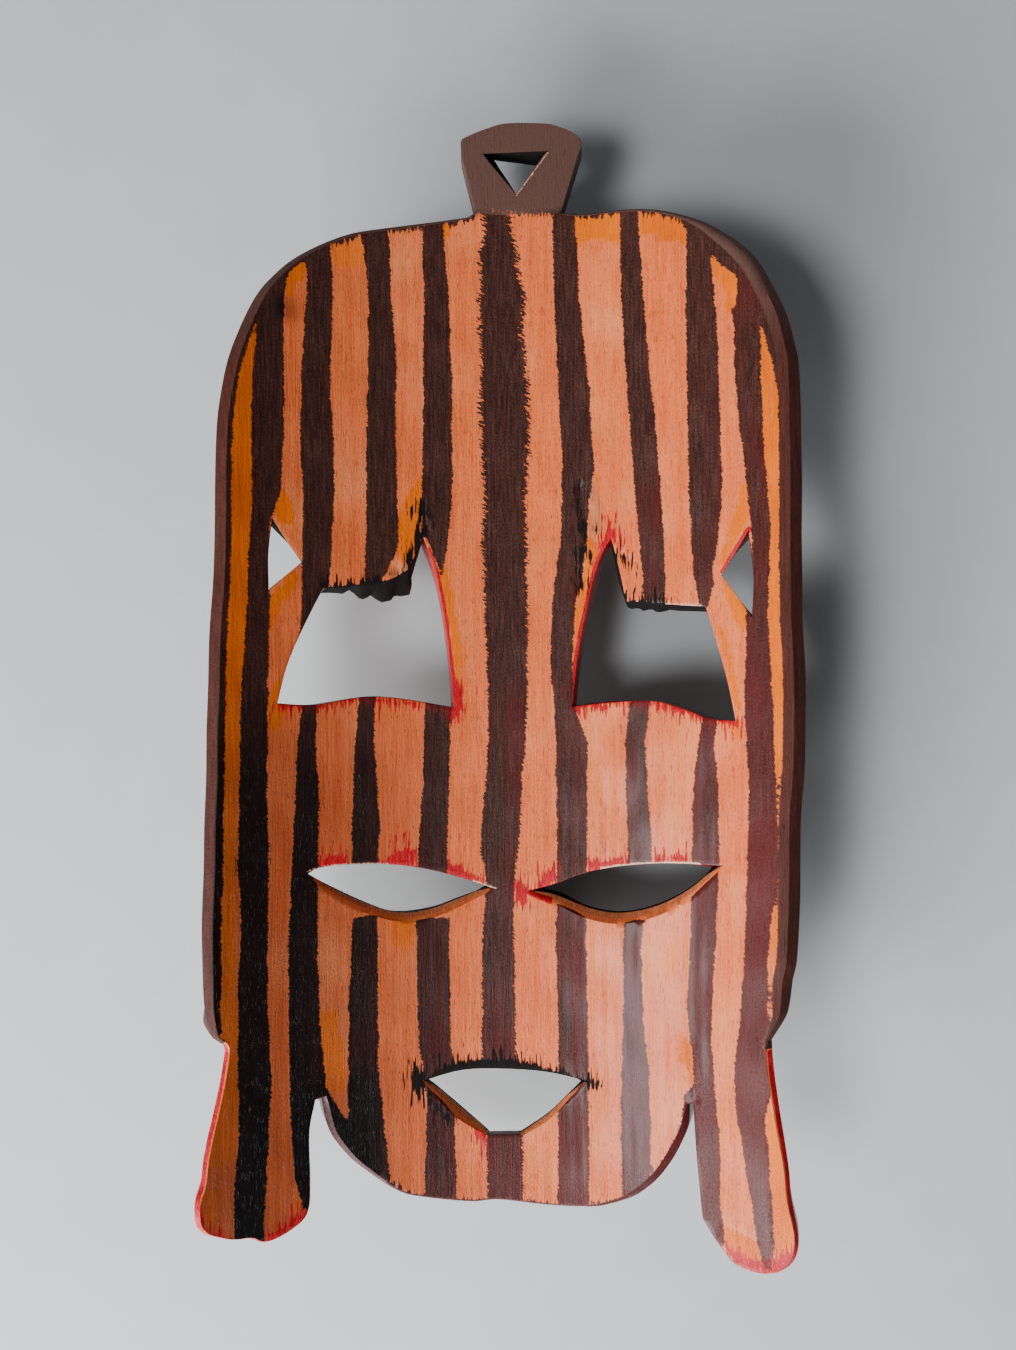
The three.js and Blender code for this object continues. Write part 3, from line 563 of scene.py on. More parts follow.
def point_counts(runs, step):
    """How many points each run gets: the length of its smooth line over the step."""
    lengths = [np.hypot(*np.diff(curve(run, 60), axis=0).T).sum() for run in runs]
    return [max(1, round(length / step)) for length in lengths]


def closed(runs):
    """The runs, with a straight one wherever a run doesn't start at the end of the last."""
    full = []
    for index, run in enumerate(runs):
        full.append(run)
        after = runs[(index + 1) % len(runs)]
        if run[-1] != after[0]:
            full.append((run[-1], after[0]))
    return full


def ring(runs, counts):
    """Closed line of the runs one after another, each without its last point."""
    return np.vstack([curve(run, count)[:-1] for run, count in zip(runs, counts)])


def tags(counts):
    """For the points of a ring: the number of the run, and the share of the way along it."""
    numbers = np.concatenate([np.full(count, index) for index, count in enumerate(counts)])
    shares = np.concatenate([np.arange(count) / count for count in counts])
    return numbers, shares


def evened(values):
    """Running mean of seven values round a closed line."""
    return np.mean([np.roll(values, shift) for shift in range(-3, 4)], axis=0)


def leftward(points):
    """Direction to the left of a closed line at each point, halfway between its two sides.

    At a corner it is longer than 1, up to 1.4, so that both sides move by the same distance.
    """
    before, after = np.roll(points, 1, axis=0), np.roll(points, -1, axis=0)

    def turned(step):
        """The step turned a quarter to the left, with length 1."""
        step = step / np.maximum(np.hypot(step[:, 0], step[:, 1]), 1e-9)[:, None]
        return np.column_stack([-step[:, 1], step[:, 0]])

    one, two = turned(points - before), turned(after - points)
    middle = one + two
    middle /= np.maximum(np.hypot(middle[:, 0], middle[:, 1]), 1e-9)[:, None]
    reach = np.minimum(1.4, 1 / np.maximum(0.3, (middle * one).sum(1)))
    return middle * reach[:, None]


def eased(directions, times=3):
    """Directions round a closed line, made to turn gently at corners by running means."""
    for _ in range(times):
        directions = np.column_stack([evened(directions[:, 0]), evened(directions[:, 1])])
    reach = np.hypot(directions[:, 0], directions[:, 1])
    return directions / np.maximum(reach, 0.3)[:, None]


def in_blocks(work, places, size=4000):
    """work(block) for blocks of places, joined: keeps the big tables small."""
    return np.concatenate([work(places[i:i + size]) for i in range(0, len(places), size)])


def far_from(places, points):
    """Distance from each place to the nearest of points."""
    points = points.astype(np.float32)

    def work(block):
        block = block.astype(np.float32)
        far = (block[:, None, 0] - points[None, :, 0]) ** 2
        far += (block[:, None, 1] - points[None, :, 1]) ** 2
        return np.sqrt(far.min(1)).astype(float)

    return in_blocks(work, places)


def nearest_to(places, points):
    """Number of the one of points that is nearest to each place."""
    def work(block):
        return ((block[:, None, :] - points[None]) ** 2).sum(2).argmin(1)

    return in_blocks(work, places, 2000)


def within(places, rings):
    """Whether each place is inside, by the even-odd count of the sides to its right."""
    starts = np.vstack(rings)
    ends = np.vstack([np.roll(r, -1, axis=0) for r in rings])
    slope = (ends[:, 0] - starts[:, 0]) / np.where(
        ends[:, 1] == starts[:, 1], 1, ends[:, 1] - starts[:, 1])

    def work(block):
        s, y = block[:, :1], block[:, 1:]
        spans = (starts[:, 1] > y) != (ends[:, 1] > y)
        right = s < starts[:, 0] + (y - starts[:, 1]) * slope
        return (spans & right).sum(1) % 2 == 1

    return in_blocks(work, places)


def patch(s, y, polygon):
    """Distance to a polygon's edge, above 0 inside: nearest side, signed by even-odd count."""
    corners = np.array(polygon, float)
    far = np.full(len(s), np.inf)
    inside = np.zeros(len(s), bool)
    for (s0, y0), (s1, y1) in zip(corners, np.roll(corners, -1, axis=0)):
        run, rise = s1 - s0, y1 - y0
        t = np.clip(((s - s0) * run + (y - y0) * rise) / (run * run + rise * rise), 0, 1)
        far = np.minimum(far, np.hypot(s - s0 - t * run, y - y0 - t * rise))
        if rise:
            inside ^= ((y0 > y) != (y1 > y)) & (s < s0 + (y - y0) * run / rise)
    return np.where(inside, far, -far)


def band(s, y, rows):
    """Distance inside a stripe whose two edges are given at places along the mask."""
    along, left, right = np.array(rows, float)[::-1].T
    inside = np.minimum(s - np.interp(y, along, left), np.interp(y, along, right) - s)
    return np.minimum(inside, np.minimum(along[-1] - y, y - along[0]))


def patches(s, y, polygons):
    """The largest of the polygons' signed distances."""
    return np.max([patch(s, y, polygon) for polygon in polygons], axis=0)


def on_loop(s, y):
    """1 on the hanging loop, 0 on the board."""
    return smooth(133, 139, y) * smooth(24, 18, np.abs(s - LOOP_MIDDLE))


def hollow(s, y):
    """Depth of the back: two slow waves of the gouge, fine ribs along the grain, and the cuts.

    A cut takes its depth times a bell of the distance to its line over its half width.
    """
    depth = TOOL_WAVE * (np.sin(0.31 * s + 0.5) * np.cos(0.23 * y)
                         + 0.6 * np.sin(0.11 * s - 0.27 * y))
    depth += RIB * np.sin(1.7 * s + 1.3 * np.sin(0.05 * y)) * np.sin(0.21 * s + 0.045 * y)
    for (s0, y0), (s1, y1), half, deep in CUTS:
        run, rise = s1 - s0, y1 - y0
        t = np.clip(((s - s0) * run + (y - y0) * rise) / (run * run + rise * rise), 0, 1)
        far = np.hypot(s - s0 - t * run, y - y0 - t * rise)
        depth += deep * np.exp(-((far / half) ** 2))
    return depth


def brow_arch(s):
    """How far the line of the brows is above its feet: a parabola on each side."""
    return BROW_ARCH * (1 - ((np.abs(s) - BROW_MIDDLE) / BROW_SPAN) ** 2)


def carved(s, y, from_outline, from_eyes, from_mouth):
    """Depth of the carved front: the board, its frame, forehead, ridge, nose, brows and lips.

    Each form adds its height times bells and smooth steps in s and y; eyelids and lips are
    bells of the distance to their openings, and the frame is a step of that to the outline.
    The forehead is 1 less the squared distances over its half widths, to the power 1.4. The
    nose across is 1 less the 2.5th power of the distance over its half, to the power 0.7.
    """
    loop = on_loop(s, y)
    side = np.abs(s)
    crown = smooth(PENDANTS_FROM - 3, PENDANTS_FROM + 3, y) * (1 - loop)
    depth = BOARD + (LOOP_DEPTH - BOARD) * loop
    depth += FRAME_RAISE * smooth(FRAME_WIDTH + 1, FRAME_WIDTH - 1, from_outline) * crown

    far = (((s - RIDGE) / FOREHEAD_HALVES[0]) ** 2
           + ((y - FOREHEAD_ALONG) / FOREHEAD_HALVES[1]) ** 2)
    depth += FOREHEAD_HEIGHT * np.maximum(0, 1 - far) ** 1.4
    ridge = RIDGE_HEIGHT * swell(s, y, RIDGE, y, RIDGE_HALF, 1)
    depth += ridge * smooth(-44, -26, y) * smooth(78, 50, y)

    down = smooth(-58, -86, y)
    half = NOSE_HALVES[0] + (NOSE_HALVES[1] - NOSE_HALVES[0]) * down
    height = NOSE_HEIGHTS[0] + (NOSE_HEIGHTS[1] - NOSE_HEIGHTS[0]) * down**1.2
    section = np.maximum(0, 1 - (np.abs(s - RIDGE) / half) ** 2.5) ** 0.7
    depth += height * section * smooth(-102, -92, y) * smooth(-30, -46, y)

    brow = BROW_HEIGHT * np.exp(-(((y - BROW_FEET - brow_arch(s)) / BROW_HALF) ** 2))
    depth += brow * smooth(6, 18, side) * smooth(70, 54, side)
    for height, *shape in SWELLINGS:
        depth += height * swell(s, y, *shape)
    depth += CHEEK[0] * swell(side, y, *CHEEK[1:])
    for (height, off, wide), far in ((EYELID, from_eyes), (LIP, from_mouth)):
        depth += height * np.exp(-(((far - off) / wide) ** 2))
    depth += FRONT_WAVE * np.sin(0.8 * s + 0.6 * np.sin(0.3 * y)) * np.sin(0.35 * y + 0.2 * s)

    pendant = smooth(PENDANTS_FROM + 1, PENDANTS_FROM - 2.5, y) * smooth(52, 58, side)
    return depth + (PENDANT - depth) * pendant


def bent(s, y, n):
    """Places of the flat board on the trough, in metres.

    Across, the place turns round the trough's axis by s over its radius; the axis rises with
    the square of y. The loop's back is planed flat and nothing goes below the floor.
    """
    angle = s / HOLLOW_RADIUS
    reach = HOLLOW_RADIUS + n
    z = HOLLOW_FLOOR + END_RISE * (y / END_RISE_AT) ** 2 + HOLLOW_RADIUS - reach * np.cos(angle)
    plane = LOOP_BACK_HEIGHT + 0.12 * (z - LOOP_BACK_HEIGHT)
    planed = smooth(LOOP_BACK_FROM - 0.6, LOOP_BACK_FROM + 0.5, y) * (z > LOOP_BACK_HEIGHT)
    z = z + (np.minimum(plane, LOOP_BACK_HEIGHT + 0.15) - z) * planed
    x = reach * np.sin(angle)
    return np.column_stack([x + CENTRE[0], y + CENTRE[1], np.maximum(z, 0)]) * MM


def sheet_of(rings, step):
    """Flat triangle net between an outline and its openings.

    Points of a staggered grid that keep clear of the lines, joined with the lines themselves
    by a constrained triangulation. The rings' points come first, in their own order.
    """
    edge = np.vstack(rings)
    low, high = edge.min(0), edge.max(0)
    rows = np.arange(low[1], high[1], step * math.sqrt(0.75))
    columns = np.arange(low[0], high[0], step)
    grid_s = columns[None, :] + np.where(np.arange(len(rows)) % 2, step / 2, 0)[:, None]
    grid = np.column_stack([grid_s.ravel(), np.repeat(rows, len(columns))])
    grid = grid[within(grid, rings)]
    grid = grid[far_from(grid, edge) > 0.62 * step]
    places = np.vstack([edge, grid])
    sides = []
    first = 0
    for line in rings:
        index = first + np.arange(len(line))
        sides += np.column_stack([index, np.roll(index, -1)]).tolist()
        first += len(line)
    result = delaunay_2d_cdt([Vector(p) for p in places.tolist()], sides, [], 0, 1e-5)
    if len(result[0]) != len(places):
        raise RuntimeError("the outlines of the board cross each other")
    order = np.array([origin[0] for origin in result[3]])
    faces = order[np.array([face for face in result[2]])]
    doubtful = (faces < len(edge)).all(1)
    middle = places[faces[doubtful]].mean(1)
    keep = np.ones(len(faces), bool)
    keep[np.flatnonzero(doubtful)[~within(middle, rings)]] = False
    return places, faces[keep]


def edge_sizes(numbers, s, y):
    """Five sizes of the outer edge round the outline, as EDGES gives them.

    They run straight between the places of a table, and all but the dark paint are then evened.
    """
    sizes = np.tile(np.array(PLAIN_EDGE)[:, None], len(s))
    for number, axis, places, *rows in EDGES:
        here = numbers == number
        for size, row in zip(sizes, rows):
            size[here] = np.interp((s, y)[axis][here], places, row)
    width, deep, lean, dark, flat = sizes
    return evened(width), evened(deep), evened(lean), dark, evened(flat)


class Wood:
    """The flat board as it grows: places, faces and what each place is painted with."""

    PAINTS = ("dark", "orange", "red", "black", "bare", "rim", "line")
    FIELDS = (*PAINTS, "ragged", "fringe", "wash", "chip")
    RAGGED = 0.35  # raggedness of a paint's edge where no other is given

    def __init__(self):
        self.places, self.faces, self.fields, self.count = [], [], [], 0

    def add(self, s, y, n, **fields):
        """Takes places and their paint fields, and gives their numbers."""
        table = {name: np.full(len(s), NO_PAINT if name in self.PAINTS else 0.0)
                 for name in self.FIELDS}
        table["ragged"] += self.RAGGED
        for name, values in fields.items():
            table[name] = table[name] * 0 + values
        self.places.append(np.column_stack([s, y, n]))
        self.fields.append(table)
        first, self.count = self.count, self.count + len(s)
        return first + np.arange(len(s))

    def depths(self, numbers):
        """Depths of places by their numbers."""
        return np.vstack(self.places)[numbers, 2]

    def paint(self, numbers):
        """Paint fields of places by their numbers."""
        return {name: np.concatenate([table[name] for table in self.fields])[numbers]
                for name in self.FIELDS}

    def strip(self, upper, lower, inwards):
        """Faces between two closed lines of numbers, looking away from the wood."""
        a, b = upper, np.roll(upper, -1)
        d, c = lower, np.roll(lower, -1)
        quads = np.column_stack([a, b, c, d] if inwards else [a, d, c, b])
        self.faces += [quads[:, [0, 1, 2]], quads[:, [0, 2, 3]]]

    def mesh(self, name):
        """Blender mesh of the bent board with its paint fields as attributes."""
        flat = np.vstack(self.places)
        faces = np.vstack(self.faces)
        mesh = bpy.data.meshes.new(name)
        mesh.vertices.add(len(flat))
        mesh.vertices.foreach_set("co", bent(*flat.T).ravel())
        mesh.loops.add(faces.size)
        mesh.loops.foreach_set("vertex_index", faces.ravel())
        mesh.polygons.add(len(faces))
        mesh.polygons.foreach_set("loop_start", np.arange(0, faces.size, 3))
        mesh.update(calc_edges=True)
        if mesh.validate():
            raise RuntimeError("the net of the board has bad faces")
        board = mesh.attributes.new("board", "FLOAT_VECTOR", "POINT")
        board.data.foreach_set("vector", flat.ravel())
        for field in self.FIELDS:
            values = np.concatenate([table[field] for table in self.fields])
            attribute = mesh.attributes.new(field, "FLOAT", "POINT")
            attribute.data.foreach_set("value", values)
        mesh.shade_smooth()
        mesh.set_sharp_from_angle(angle=math.radians(40))
        return mesh


def back_paint(s, y, from_outline, bevel, dark_band):
    """Paint of the back: how far inside each kind of paint a place is, in millimetres."""
    stripes = [band(s, y, rows) for rows in STRIPES]
    centre = stripes[CENTRE_STRIPE]
    stripe = np.maximum(np.max(stripes, axis=0), patches(s, y, DARK_PATCHES))
    band_in = dark_band - from_outline
    loop = np.where(np.abs(s - LOOP_MIDDLE) < 24, y - 136.9, NO_PAINT)
    dark = np.max([stripe, band_in, loop], axis=0)
    ragged = 0.32 + 1.1 * smooth(-3, 0, centre) * smooth(-20, 70, y) + 0.25 * smooth(-3, 0, centre)
    ends = (np.maximum(band_in, loop) > stripe - 0.5) & ((y > 118) | (y < -140))
    orange = np.max([patches(s, y, ORANGE_PATCHES)] + [band(s, y, r) for r in ORANGE_STRIPES],
                    axis=0)
    # the smudge, a stain of the wood, and painted shade on the left side below the middle and on
    # its lower end
    smudge_and_shade = np.max([swell(s, y, *SMUDGE),
                    LEFT_SHADE * smooth(35, -75, s) * smooth(30, -40, y),
                    smooth(-10, -50, s) * smooth(-90, -125, y)], axis=0)
    return {
        "dark": dark, "orange": orange, "red": patches(s, y, RED_PATCHES),
        "black": patches(s, y, BLACK_PATCHES), "bare": patches(s, y, BARE_PATCHES),
        "rim": np.maximum(np.where(dark_band > 0, bevel - from_outline, NO_PAINT), loop),
        "ragged": ragged, "fringe": np.where(ends, 1.0, 0.0),
        # orange washes push this field up; the smudge and the painted shade push it down
        "wash": smooth(-2.5, 1.5, patches(s, y, ORANGE_WASHES)) - smudge_and_shade,
    }


def wall_paint(kind, share):
    """Paint of a wall, from its back edge at share 0 to its front edge at share 1."""
    whole = np.full(len(share), 5.0)
    paints = {
        "brown": {"dark": whole, "rim": whole},
        "dark": {"dark": whole},
        "maroon": {"dark": whole, "red": whole},
        "red": {"red": whole},
        "black": {"black": whole, "dark": whole},
        # bare wood at the back of the cut, going dark and then black towards the front: painted
        # shade deep in the opening
        "bare": {"bare": 3 - 30 * share, "dark": 40 * share - 3.5, "black": 60 * share - 9},
    }
    return paints[kind]


def paint_by_kind(kinds, share):
    """Fields of wall paint where each place has its own kind."""
    names = [name for name in Wood.PAINTS if name != "line"]
    fields = {name: np.full(len(kinds), NO_PAINT) for name in names}
    for kind in set(kinds):
        here = kinds == kind
        for name, values in wall_paint(kind, np.broadcast_to(share, len(kinds))[here]).items():
            fields[name][here] = values
    return fields


def front_paint(s, y, from_outline, from_eyes, from_mouth, from_upper):
    """Paint of the hidden front: dark stained wood, with red and orange at the carved edges."""
    lips = 3.2 - np.abs(from_mouth - 3)
    tips = np.maximum(-139 - y, NO_PAINT)
    brows = 1.3 - np.abs(y - BROW_FEET - brow_arch(s))
    brows = np.minimum(brows, np.minimum(np.abs(s) - 14, 56 - np.abs(s)))
    orange = np.max([1.6 - np.abs(from_upper - 3.2), brows, 0.9 - np.abs(from_outline - 14)],
                    axis=0)
    orange = np.where(y < -99, NO_PAINT, orange)
    red = np.max([lips, 2 - from_eyes, 1.4 - from_upper,
                  np.where(np.abs(s) > 56, tips, NO_PAINT)], axis=0)
    painted = np.maximum(orange, red)
    return {
        "dark": np.where(painted > -0.4, -0.4 - painted, 5), "orange": orange, "red": red,
        "rim": 5.0, "ragged": 0.3,
    }


class Rim:
    """Outline of the board, with the sizes and the paint of the outer edge at its points."""

    def __init__(self, step):
        runs = closed(OUTLINE)
        counts = point_counts(runs, step)
        self.line = ring(runs, counts)
        run, share = tags(counts)
        self.width, self.deep, lean, self.dark, self.flat = edge_sizes(run, *self.line.T)
        self.left = leftward(self.line)
        self.leaning = eased(self.left) * lean[:, None]
        self.on_right = run == ON_CROWN_RIGHT
        s, y = self.line.T
        notch = (np.abs(s) > 70) & (np.abs(y - PENDANTS_FROM) < 7)
        thin = np.isin(run, (ON_PENDANT_LEFT, ON_PENDANT_RIGHT)) | (run > ON_CROWN_RIGHT)
        self.inset = evened(np.where(thin | notch, *FRONT_ROUNDS))
        self.kinds = np.full(len(run), "brown", dtype=object)
        self.kinds[run == ON_CHIN] = "dark"
        self.kinds[(run == ON_PENDANT_LEFT) & (share < 0.82)] = "red"
        self.kinds[(run == ON_PENDANT_RIGHT) & (share > 0.4)] = "red"


class Opening:
    """One opening: its two outlines, point for point, and bevel, teeth and paint at each point."""

    def __init__(self, name, step):
        shape = OPENINGS[name]
        counts = point_counts(shape["back"], step)
        self.name, self.depth = name, shape["depth"]
        self.back, self.front = ring(shape["back"], counts), ring(shape["front"], counts)
        self.wall, self.share = tags(counts)
        self.into = leftward(self.back)
        self.kinds = np.array(shape["walls"], dtype=object)[self.wall]
        self.bevel = np.full(len(self.wall), PLAIN_BEVEL)
        self.reach, self.chip = np.zeros((2, len(self.wall)))
        self.lined = np.zeros(len(self.wall), bool)
        for (where, wall), table in TEETH.items():
            if where == name:
                here = self.wall == wall
                self.reach[here] = np.interp(self.back[here, 0], *np.array(sorted(table)).T)
        for (where, wall), table in BEVELS.items():
            if where == name:
                here = self.wall == wall
                self.bevel[here] = np.interp(self.share[here], *np.array(table).T)
        for where, wall, start, end, strength in CHIPS_AND_GLINTS:
            if where == name:
                here = self.stretch(wall, start, end)
                self.chip[here] = np.maximum(self.chip[here], strength)
        for where, wall, start, end in RED_LINES:
            if where == name:
                self.lined |= self.stretch(wall, start, end)

    def stretch(self, wall, start, end):
        """Which points are on a wall, between two shares of the way along it."""
        return (self.wall == wall) & (self.share >= start) & (self.share <= end)

    def line(self, depth, widen):
        """Outline at a depth: between the two outlines, with the broken teeth."""
        down = np.broadcast_to(depth / self.depth, len(self.wall))
        tooth = np.interp(down, *TOOTH_PROFILE)
        top = self.back + self.into * self.bevel[:, None]
        line = top + (self.front - top) * np.clip(down, 0, 1)[:, None]
        return line + self.into * (self.reach * tooth - widen)[:, None]


def carve_back(wood, rim, openings, step):
    """The painted back: a net from the bevel of the rim to the bevels of the openings."""
    lines = [rim.line + rim.left * rim.width[:, None]]
    lines += [hole.line(0, hole.bevel) for hole in openings]
    places, faces = sheet_of(lines, step)
    s, y = places.T
    nearest = nearest_to(places, rim.line)
    paint = back_paint(s, y, far_from(places, rim.line), rim.width[nearest], rim.dark[nearest])
    lined = np.vstack([hole.back[hole.lined] for hole in openings])
    paint["line"] = RED_LINE_WIDTH - far_from(places, lined)
    chips_and_glints = np.concatenate([np.zeros(len(rim.line))] + [hole.chip for hole in openings])
    paint["chip"] = np.zeros(len(places))
    paint["chip"][:len(chips_and_glints)] = chips_and_glints
    back = wood.add(s, y, hollow(s, y), **paint)
    wood.faces.append(back[faces])
    return back


def carve_front(wood, rim, openings, step):
    """The carved front: a net from the rounding of the rim to those of the openings."""
    lines = [rim.line + rim.left * rim.inset[:, None] + rim.leaning]
    lines += [hole.line(hole.depth, FRONT_ARRIS) for hole in openings]
    places, faces = sheet_of(lines, step)
    s, y = places.T

    def far_from_openings(kind):
        """Distance to the front outlines of the openings of a kind."""
        fronts = [hole.front for hole in openings if hole.name.startswith(kind)]
        return far_from(places, np.vstack(fronts))

    from_outline, from_eyes = far_from(places, rim.line), far_from_openings("eye")
    from_mouth, from_upper = far_from_openings("mouth"), far_from_openings("upper")
    paint = front_paint(s, y, from_outline, from_eyes, from_mouth, from_upper)
    front = wood.add(s, y, carved(s, y, from_outline, from_eyes, from_mouth), **paint)
    wood.faces.append(front[faces][:, ::-1])
    return front


def outer_bevel(rim, deep):
    """Rows down the bevel of the outer edge: how far in from the outline, and how deep.

    Where it is rounded it is a quarter of an ellipse, and where it is flat it runs straight to
    its knee and straight on.
    """
    knee = np.where(rim.on_right, KNEE_RIGHT[0], KNEE[0])
    sunk = np.where(rim.on_right, KNEE_RIGHT[1], KNEE[1])
    bends = (((1 + knee) / 2, sunk / 2), (knee, sunk), (knee * 2 / 3, sunk + (1 - sunk) / 3),
             (knee / 3, sunk + (1 - sunk) * 2 / 3), (0, 1))
    rows = []
    for (out, down), turn in zip(bends, np.radians((18, 36, 54, 72, 90))):
        out = (1 - math.sin(turn)) + (out - 1 + math.sin(turn)) * rim.flat
        down = (1 - math.cos(turn)) + (down - 1 + math.cos(turn)) * rim.flat
        rows.append((rim.width * out, deep * down))
    return rows


def carve_outer_wall(wood, rim, back, front):
    """Outer wall: bevel at the back, side leaning in, and a rounding at the front."""
    depth_back, depth_front = wood.depths(back), wood.depths(front)
    thick = depth_front - depth_back
    deep = np.minimum(rim.deep, 0.45 * thick)
    rounding = np.minimum(rim.inset, 0.35 * thick)
    low, high = depth_back + deep, depth_front - rounding
    number = np.arange(len(rim.line))
    wave = TOOL_WAVE * np.sin(number * 0.37) * np.sin(number * 0.11)
    # how far in from the outline, share of the lean, depth
    rows = [(inwards, 0, depth_back + down) for inwards, down in outer_bevel(rim, deep)]
    rows += [(-wave * math.sin(math.pi * t), t, low + (high - low) * t)
             for t in (0.25, 0.5, 0.75)]
    rows += [(rim.inset * (1 - math.cos(turn)), 1, high + rounding * math.sin(turn))
             for turn in np.radians((0, 22, 45, 68))]
    # along the knee of the right bevel, a pale line of bare-wood colour: a painted highlight of the
    # crease
    worn = rim.on_right & (rim.line[:, 1] > KNEE_HIGHLIGHT[0]) & (rim.line[:, 1] < KNEE_HIGHLIGHT[1])
    last = back
    for index, (inwards, leant, level) in enumerate(rows):
        line = rim.line + rim.left * inwards[:, None] + rim.leaning * leant
        paint = paint_by_kind(rim.kinds, 1)
        if index == 0:
            for name in ("rim", "red"):
                paint[name] = np.minimum(paint[name], 0.3)
        # painted highlight: the bare-wood line on the knee of the right bevel
        if index == 1:
            paint["bare"] = np.where(worn, 0.1, -1.5)
        row = wood.add(*line.T, level, **paint)
        wood.strip(last, row, False)
        last = row
    wood.strip(last, front, False)


def carve_opening_wall(wood, hole, back, front):
    """Wall of an opening: bevel at the back, wall, and an arris turned halfway at the front.

    A narrow bevel is rounded and a wide one is flat. The paint of the back goes on over a
    rounded one, and stops at a flat one.
    """
    depth_back, depth_front = wood.depths(back), wood.depths(front)
    before = wood.paint(back)
    turn = math.radians(45)
    flat = smooth(0.6, 1.2, hole.bevel)
    fall = hole.bevel * (1 - 0.2 * flat)
    low, high = depth_back + fall, depth_front - FRONT_ARRIS
    # how far wider than the wall, depth, how far down the wall its paint is
    rows = [(hole.bevel * (1 - math.sin(turn) * (1 - flat) - 0.5 * flat),
             depth_back + fall * (0.29 * (1 - flat) + 0.5 * flat), 0),
            (0, low, 0.05)]
    rows += [(0, low + (high - low) * t, 0.1 + 0.9 * t) for t in (0.1, 0.25, 0.42, 0.6, 0.8, 1)]
    rows.append((FRONT_ARRIS * (1 - math.cos(turn)), high + FRONT_ARRIS * math.sin(turn), 1))
    last = back
    for index, (widen, level, share) in enumerate(rows):
        line = hole.line(level - depth_back, widen)
        paint = paint_by_kind(hole.kinds, share)
        if index == 0:
            for name, values in paint.items():
                mild = before[name] * 0.6 + values * 0.4
                paint[name] = np.where(flat > 0.5, values, mild)
            paint["chip"] = hole.chip
            paint["line"] = np.where(hole.lined, 0.8, -2)
        row = wood.add(*line.T, level, **paint)
        wood.strip(last, row, True)
        last = row
    wood.strip(last, front, True)


def carve(step):
    """The whole mask: back, front and the walls between them, all of one closed skin."""
    rim = Rim(step)
    openings = [Opening(name, step) for name in OPENINGS]
    wood = Wood()
    back = carve_back(wood, rim, openings, step)
    front = carve_front(wood, rim, openings, step * FRONT_COARSER)
    # the points of the rim come first in both nets, then those of each opening
    ends = np.cumsum([len(rim.line)] + [len(hole.wall) for hole in openings])
    backs, fronts = np.split(back, ends), np.split(front, ends)
    carve_outer_wall(wood, rim, backs[0], fronts[0])
    for hole, at_back, at_front in zip(openings, backs[1:], fronts[1:]):
        carve_opening_wall(wood, hole, at_back, at_front)
    return wood


class Socket:
    """An output of a node that adds, subtracts and multiplies like a number."""

    def __init__(self, nodes, socket):
        self.nodes, self.socket = nodes, socket

    def math(self, operation, *others):
        """A Math node on this output and others."""
        values = dict(enumerate((self, *others)))
        return self.nodes.add("ShaderNodeMath", {"operation": operation}, values)

    def __add__(self, other):
        return self.math("ADD", other)

    __radd__ = __add__

    def __mul__(self, other):
        return self.math("MULTIPLY", other)

    __rmul__ = __mul__

    def __sub__(self, other):
        return self.math("SUBTRACT", other)

    def __rsub__(self, other):
        return self.nodes.add("ShaderNodeMath", {"operation": "SUBTRACT"}, {0: other, 1: self})

    def step(self, start, end):
        """0 before start, 1 after end, smooth between them."""
        values = {"Value": self, "From Min": start, "From Max": end, "To Min": 0.0, "To Max": 1.0}
        return self.nodes.add("ShaderNodeMapRange", {"interpolation_type": "SMOOTHSTEP"}, values)


class Nodes:
    """The nodes of one material."""

    def __init__(self, material):
        material.use_nodes = True
        self.tree = material.node_tree
        self.tree.nodes.clear()

    def add(self, kind, settings, values, output=0):
        """One node: its type, its settings, and the values or links of its inputs."""
        node = self.tree.nodes.new(kind)
        for name, value in settings.items():
            setattr(node, name, value)
        for name, value in values.items():
            socket = node.inputs[name]
            if isinstance(value, Socket):
                self.tree.links.new(value.socket, socket)
            else:
                socket.default_value = value
        return Socket(self, node.outputs[output]) if node.outputs else None

    def field(self, name):
        """A paint field of the mesh."""
        return self.add("ShaderNodeAttribute", {"attribute_name": name}, {}, "Fac")

    def stretched(self, place, across, along, deep):
        """The place on the board times a factor for each direction."""
        return self.add("ShaderNodeVectorMath", {"operation": "MULTIPLY"},
                        {0: place, 1: (across, along, deep)})

    def noise(self, place, across, along, deep=None, detail=2.0, roughness=0.5):
        """Soft noise about 0, from -0.5 to 0.5, with its own size across and along the grain."""
        deep = across if deep is None else deep
        values = {"Vector": self.stretched(place, across, along, deep), "Scale": 1.0,
                  "Detail": detail, "Roughness": roughness}
        return self.add("ShaderNodeTexNoise", {"noise_dimensions": "3D"}, values, "Fac") - 0.5

    def mix(self, share, one, two):
        """Colour between two colours."""
        return self.add("ShaderNodeMix", {"data_type": "RGBA"}, {0: share, 6: one, 7: two}, 2)


